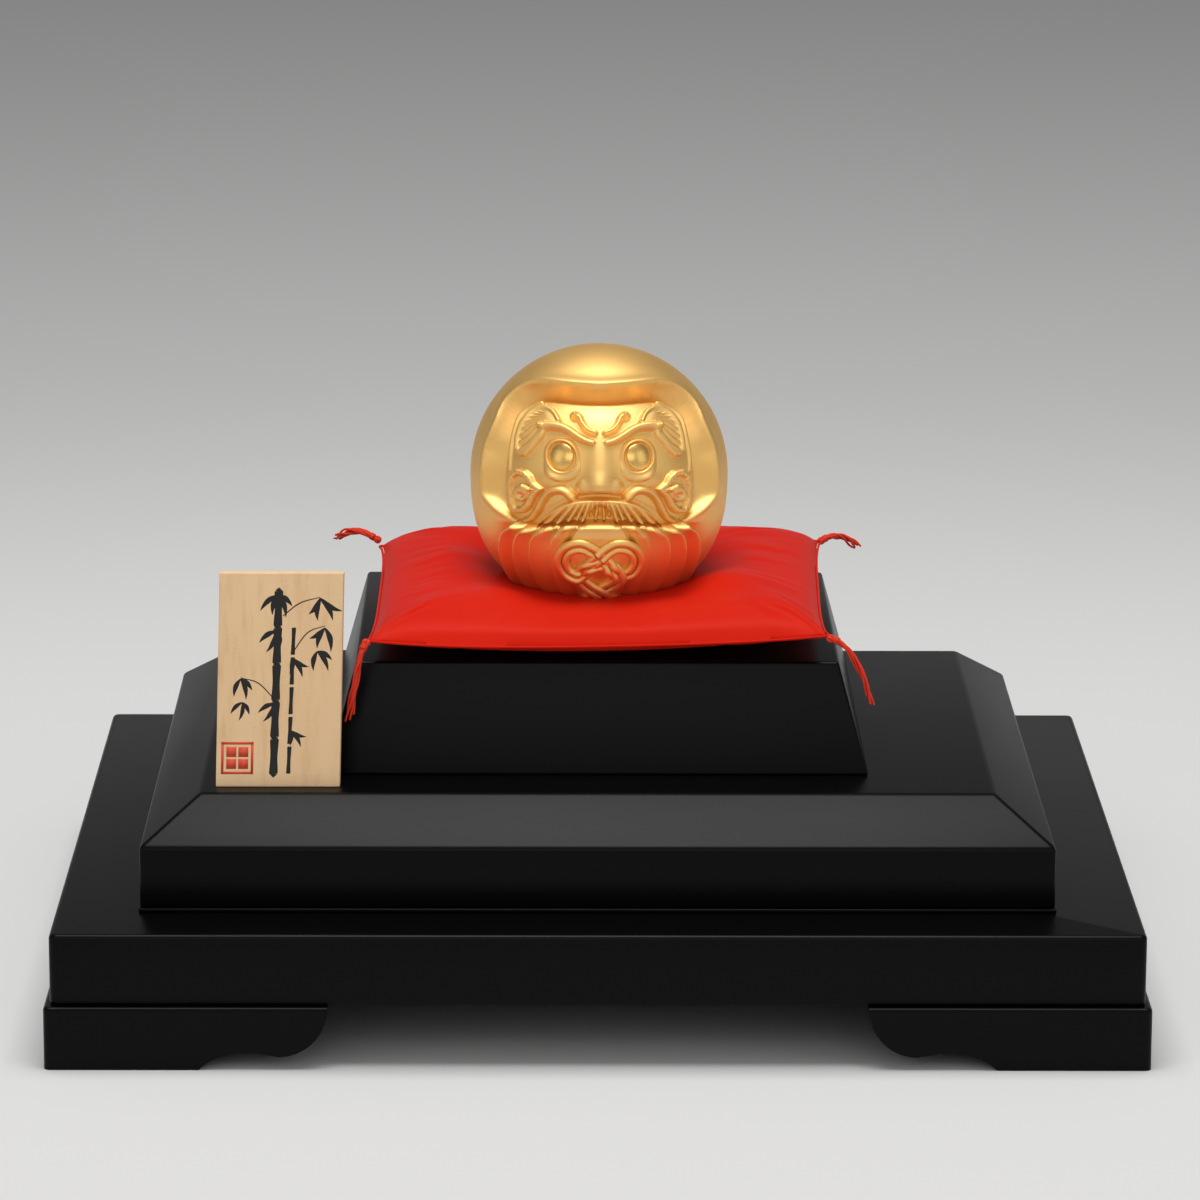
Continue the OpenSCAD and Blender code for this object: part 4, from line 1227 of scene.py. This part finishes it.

# %% [markdown]
# ## Studio
#
# A plain pale floor, one soft box above, a dim one over the camera and two at its sides. The floor's colour is
# painted a little darker towards the back, as painted shade where the light of the boxes falls off. The room behind
# is darker than the floor, so the rounded gold has a brown edge at the top and a bright patch where it turns up to
# the box above. The lacquer mirrors little, which keeps its fronts dark, and the box above gives its bevels their grey.

# %% Floor
FLOOR_HALF, FLOOR_BACK = 3.2, 0.8
# Depths over which the floor's colour is painted darker: painted shade for the light's fall-off towards the back
PAINTED_SHADE_FROM, PAINTED_SHADE_TO = 0.18, 0.62
floor_mesh = bmesh.new()
bmesh.ops.create_grid(floor_mesh, x_segments=1, y_segments=1, size=FLOOR_HALF)
bmesh.ops.translate(floor_mesh, vec=(0, FLOOR_BACK, 0), verts=floor_mesh.verts)
floor_finish = Finish("pale_floor", Specular_IOR_Level=0.1, Roughness=0.8)
floor_split = floor_finish.node("SeparateXYZ", None, {"Vector": floor_finish.place})
painted_shade_depth = Value(floor_finish, floor_split.socket.node.outputs[1])
# Painted shade: the floor's colour darkens from front to back, standing in for the light falling off
floor_finish.set(Base_Color=floor_finish.blend(painted_shade_depth.between(PAINTED_SHADE_FROM, PAINTED_SHADE_TO),
                                               colour(0.725, 0.722, 0.714), colour(0.605, 0.603, 0.597)))
floor_data = bpy.data.meshes.new("floor")
floor_mesh.to_mesh(floor_data)
floor_mesh.free()
floor = bpy.data.objects.new("floor", floor_data)
floor_data.materials.append(floor_finish.material)
bpy.context.scene.collection.objects.link(floor)


# %% Lights
def soft_box(name, where, aim, size_x, size_y, radiance, tint=(1, 1, 1)):
    """An area light whose surface has the given radiance."""
    data = bpy.data.lights.new(name, "AREA")
    data.shape = "RECTANGLE"
    data.size, data.size_y = size_x, size_y
    data.energy = radiance * size_x * size_y * math.pi
    data.color = tint
    light = bpy.data.objects.new(name, data)
    light.location = where
    light.rotation_euler = (Vector(aim) - Vector(where)).to_track_quat("-Z", "Y").to_euler()
    bpy.context.scene.collection.objects.link(light)
    return light


soft_box("box_above", (0, -0.06, 1.22), (0, -0.05, 0), 0.74, 0.68, 7.4)
soft_box("box_front", (0, -2.3, 1.15), (0, 0, 0.1), 2.2, 1.1, 1.0)
soft_box("box_left", (-1.5, -1.1, 0.75), (0, 0, 0.1), 1.0, 1.3, 0.55)
soft_box("box_right", (1.5, -1.1, 0.75), (0, 0, 0.1), 1.0, 1.3, 0.55)

# How bright the room behind the stand is, by how far up one looks, and the room in front of it
BACK_WALL = [(0.0, colour(0.42, 0.42, 0.42)), (0.22, colour(0.20, 0.20, 0.202)),
             (0.9, colour(0.15, 0.15, 0.153))]
FRONT_WALL = colour(0.36, 0.36, 0.36)

world = bpy.data.worlds.new("room")
world.use_nodes = True
bpy.context.scene.world = world
nodes, links = world.node_tree.nodes, world.node_tree.links
direction = nodes.new("ShaderNodeTexCoord")
parts = nodes.new("ShaderNodeSeparateXYZ")
links.new(direction.outputs["Generated"], parts.inputs[0])
sky = nodes.new("ShaderNodeValToRGB")
links.new(parts.outputs["Z"], sky.inputs[0])
sky.color_ramp.elements.new(0.5)
for stop, (up, shade) in zip(sky.color_ramp.elements, BACK_WALL):
    stop.position, stop.color = up, shade
front = nodes.new("ShaderNodeMapRange")
front.inputs["From Min"].default_value, front.inputs["From Max"].default_value = 0.2, -0.5
links.new(parts.outputs["Y"], front.inputs["Value"])
room = nodes.new("ShaderNodeMix")
room.data_type = "RGBA"
room.inputs[7].default_value = FRONT_WALL
links.new(front.outputs["Result"], room.inputs[0])
links.new(sky.outputs["Color"], room.inputs[6])
links.new(room.outputs[2], nodes["Background"].inputs["Color"])
nodes["Background"].inputs["Strength"].default_value = 1.0

# %% Camera
LENS = 176.23
CAMERA_PLACE = (-0.0085, -1.1612, 0.3474)
PAN, TILT, ROLL = math.radians(-0.4576), math.radians(90 - 13.334), math.radians(0.195)

camera_data = bpy.data.cameras.new("camera")
camera_data.sensor_width = 36
camera_data.lens = LENS
camera = bpy.data.objects.new("camera", camera_data)
turn = Matrix.Rotation(PAN, 4, "Z") @ Matrix.Rotation(TILT, 4, "X") @ Matrix.Rotation(ROLL, 4, "Z")
camera.matrix_world = Matrix.Translation(CAMERA_PLACE) @ turn
camera_data.clip_end = 20
bpy.context.scene.collection.objects.link(camera)
bpy.context.scene.camera = camera
bpy.context.scene.view_settings.view_transform = "Standard"
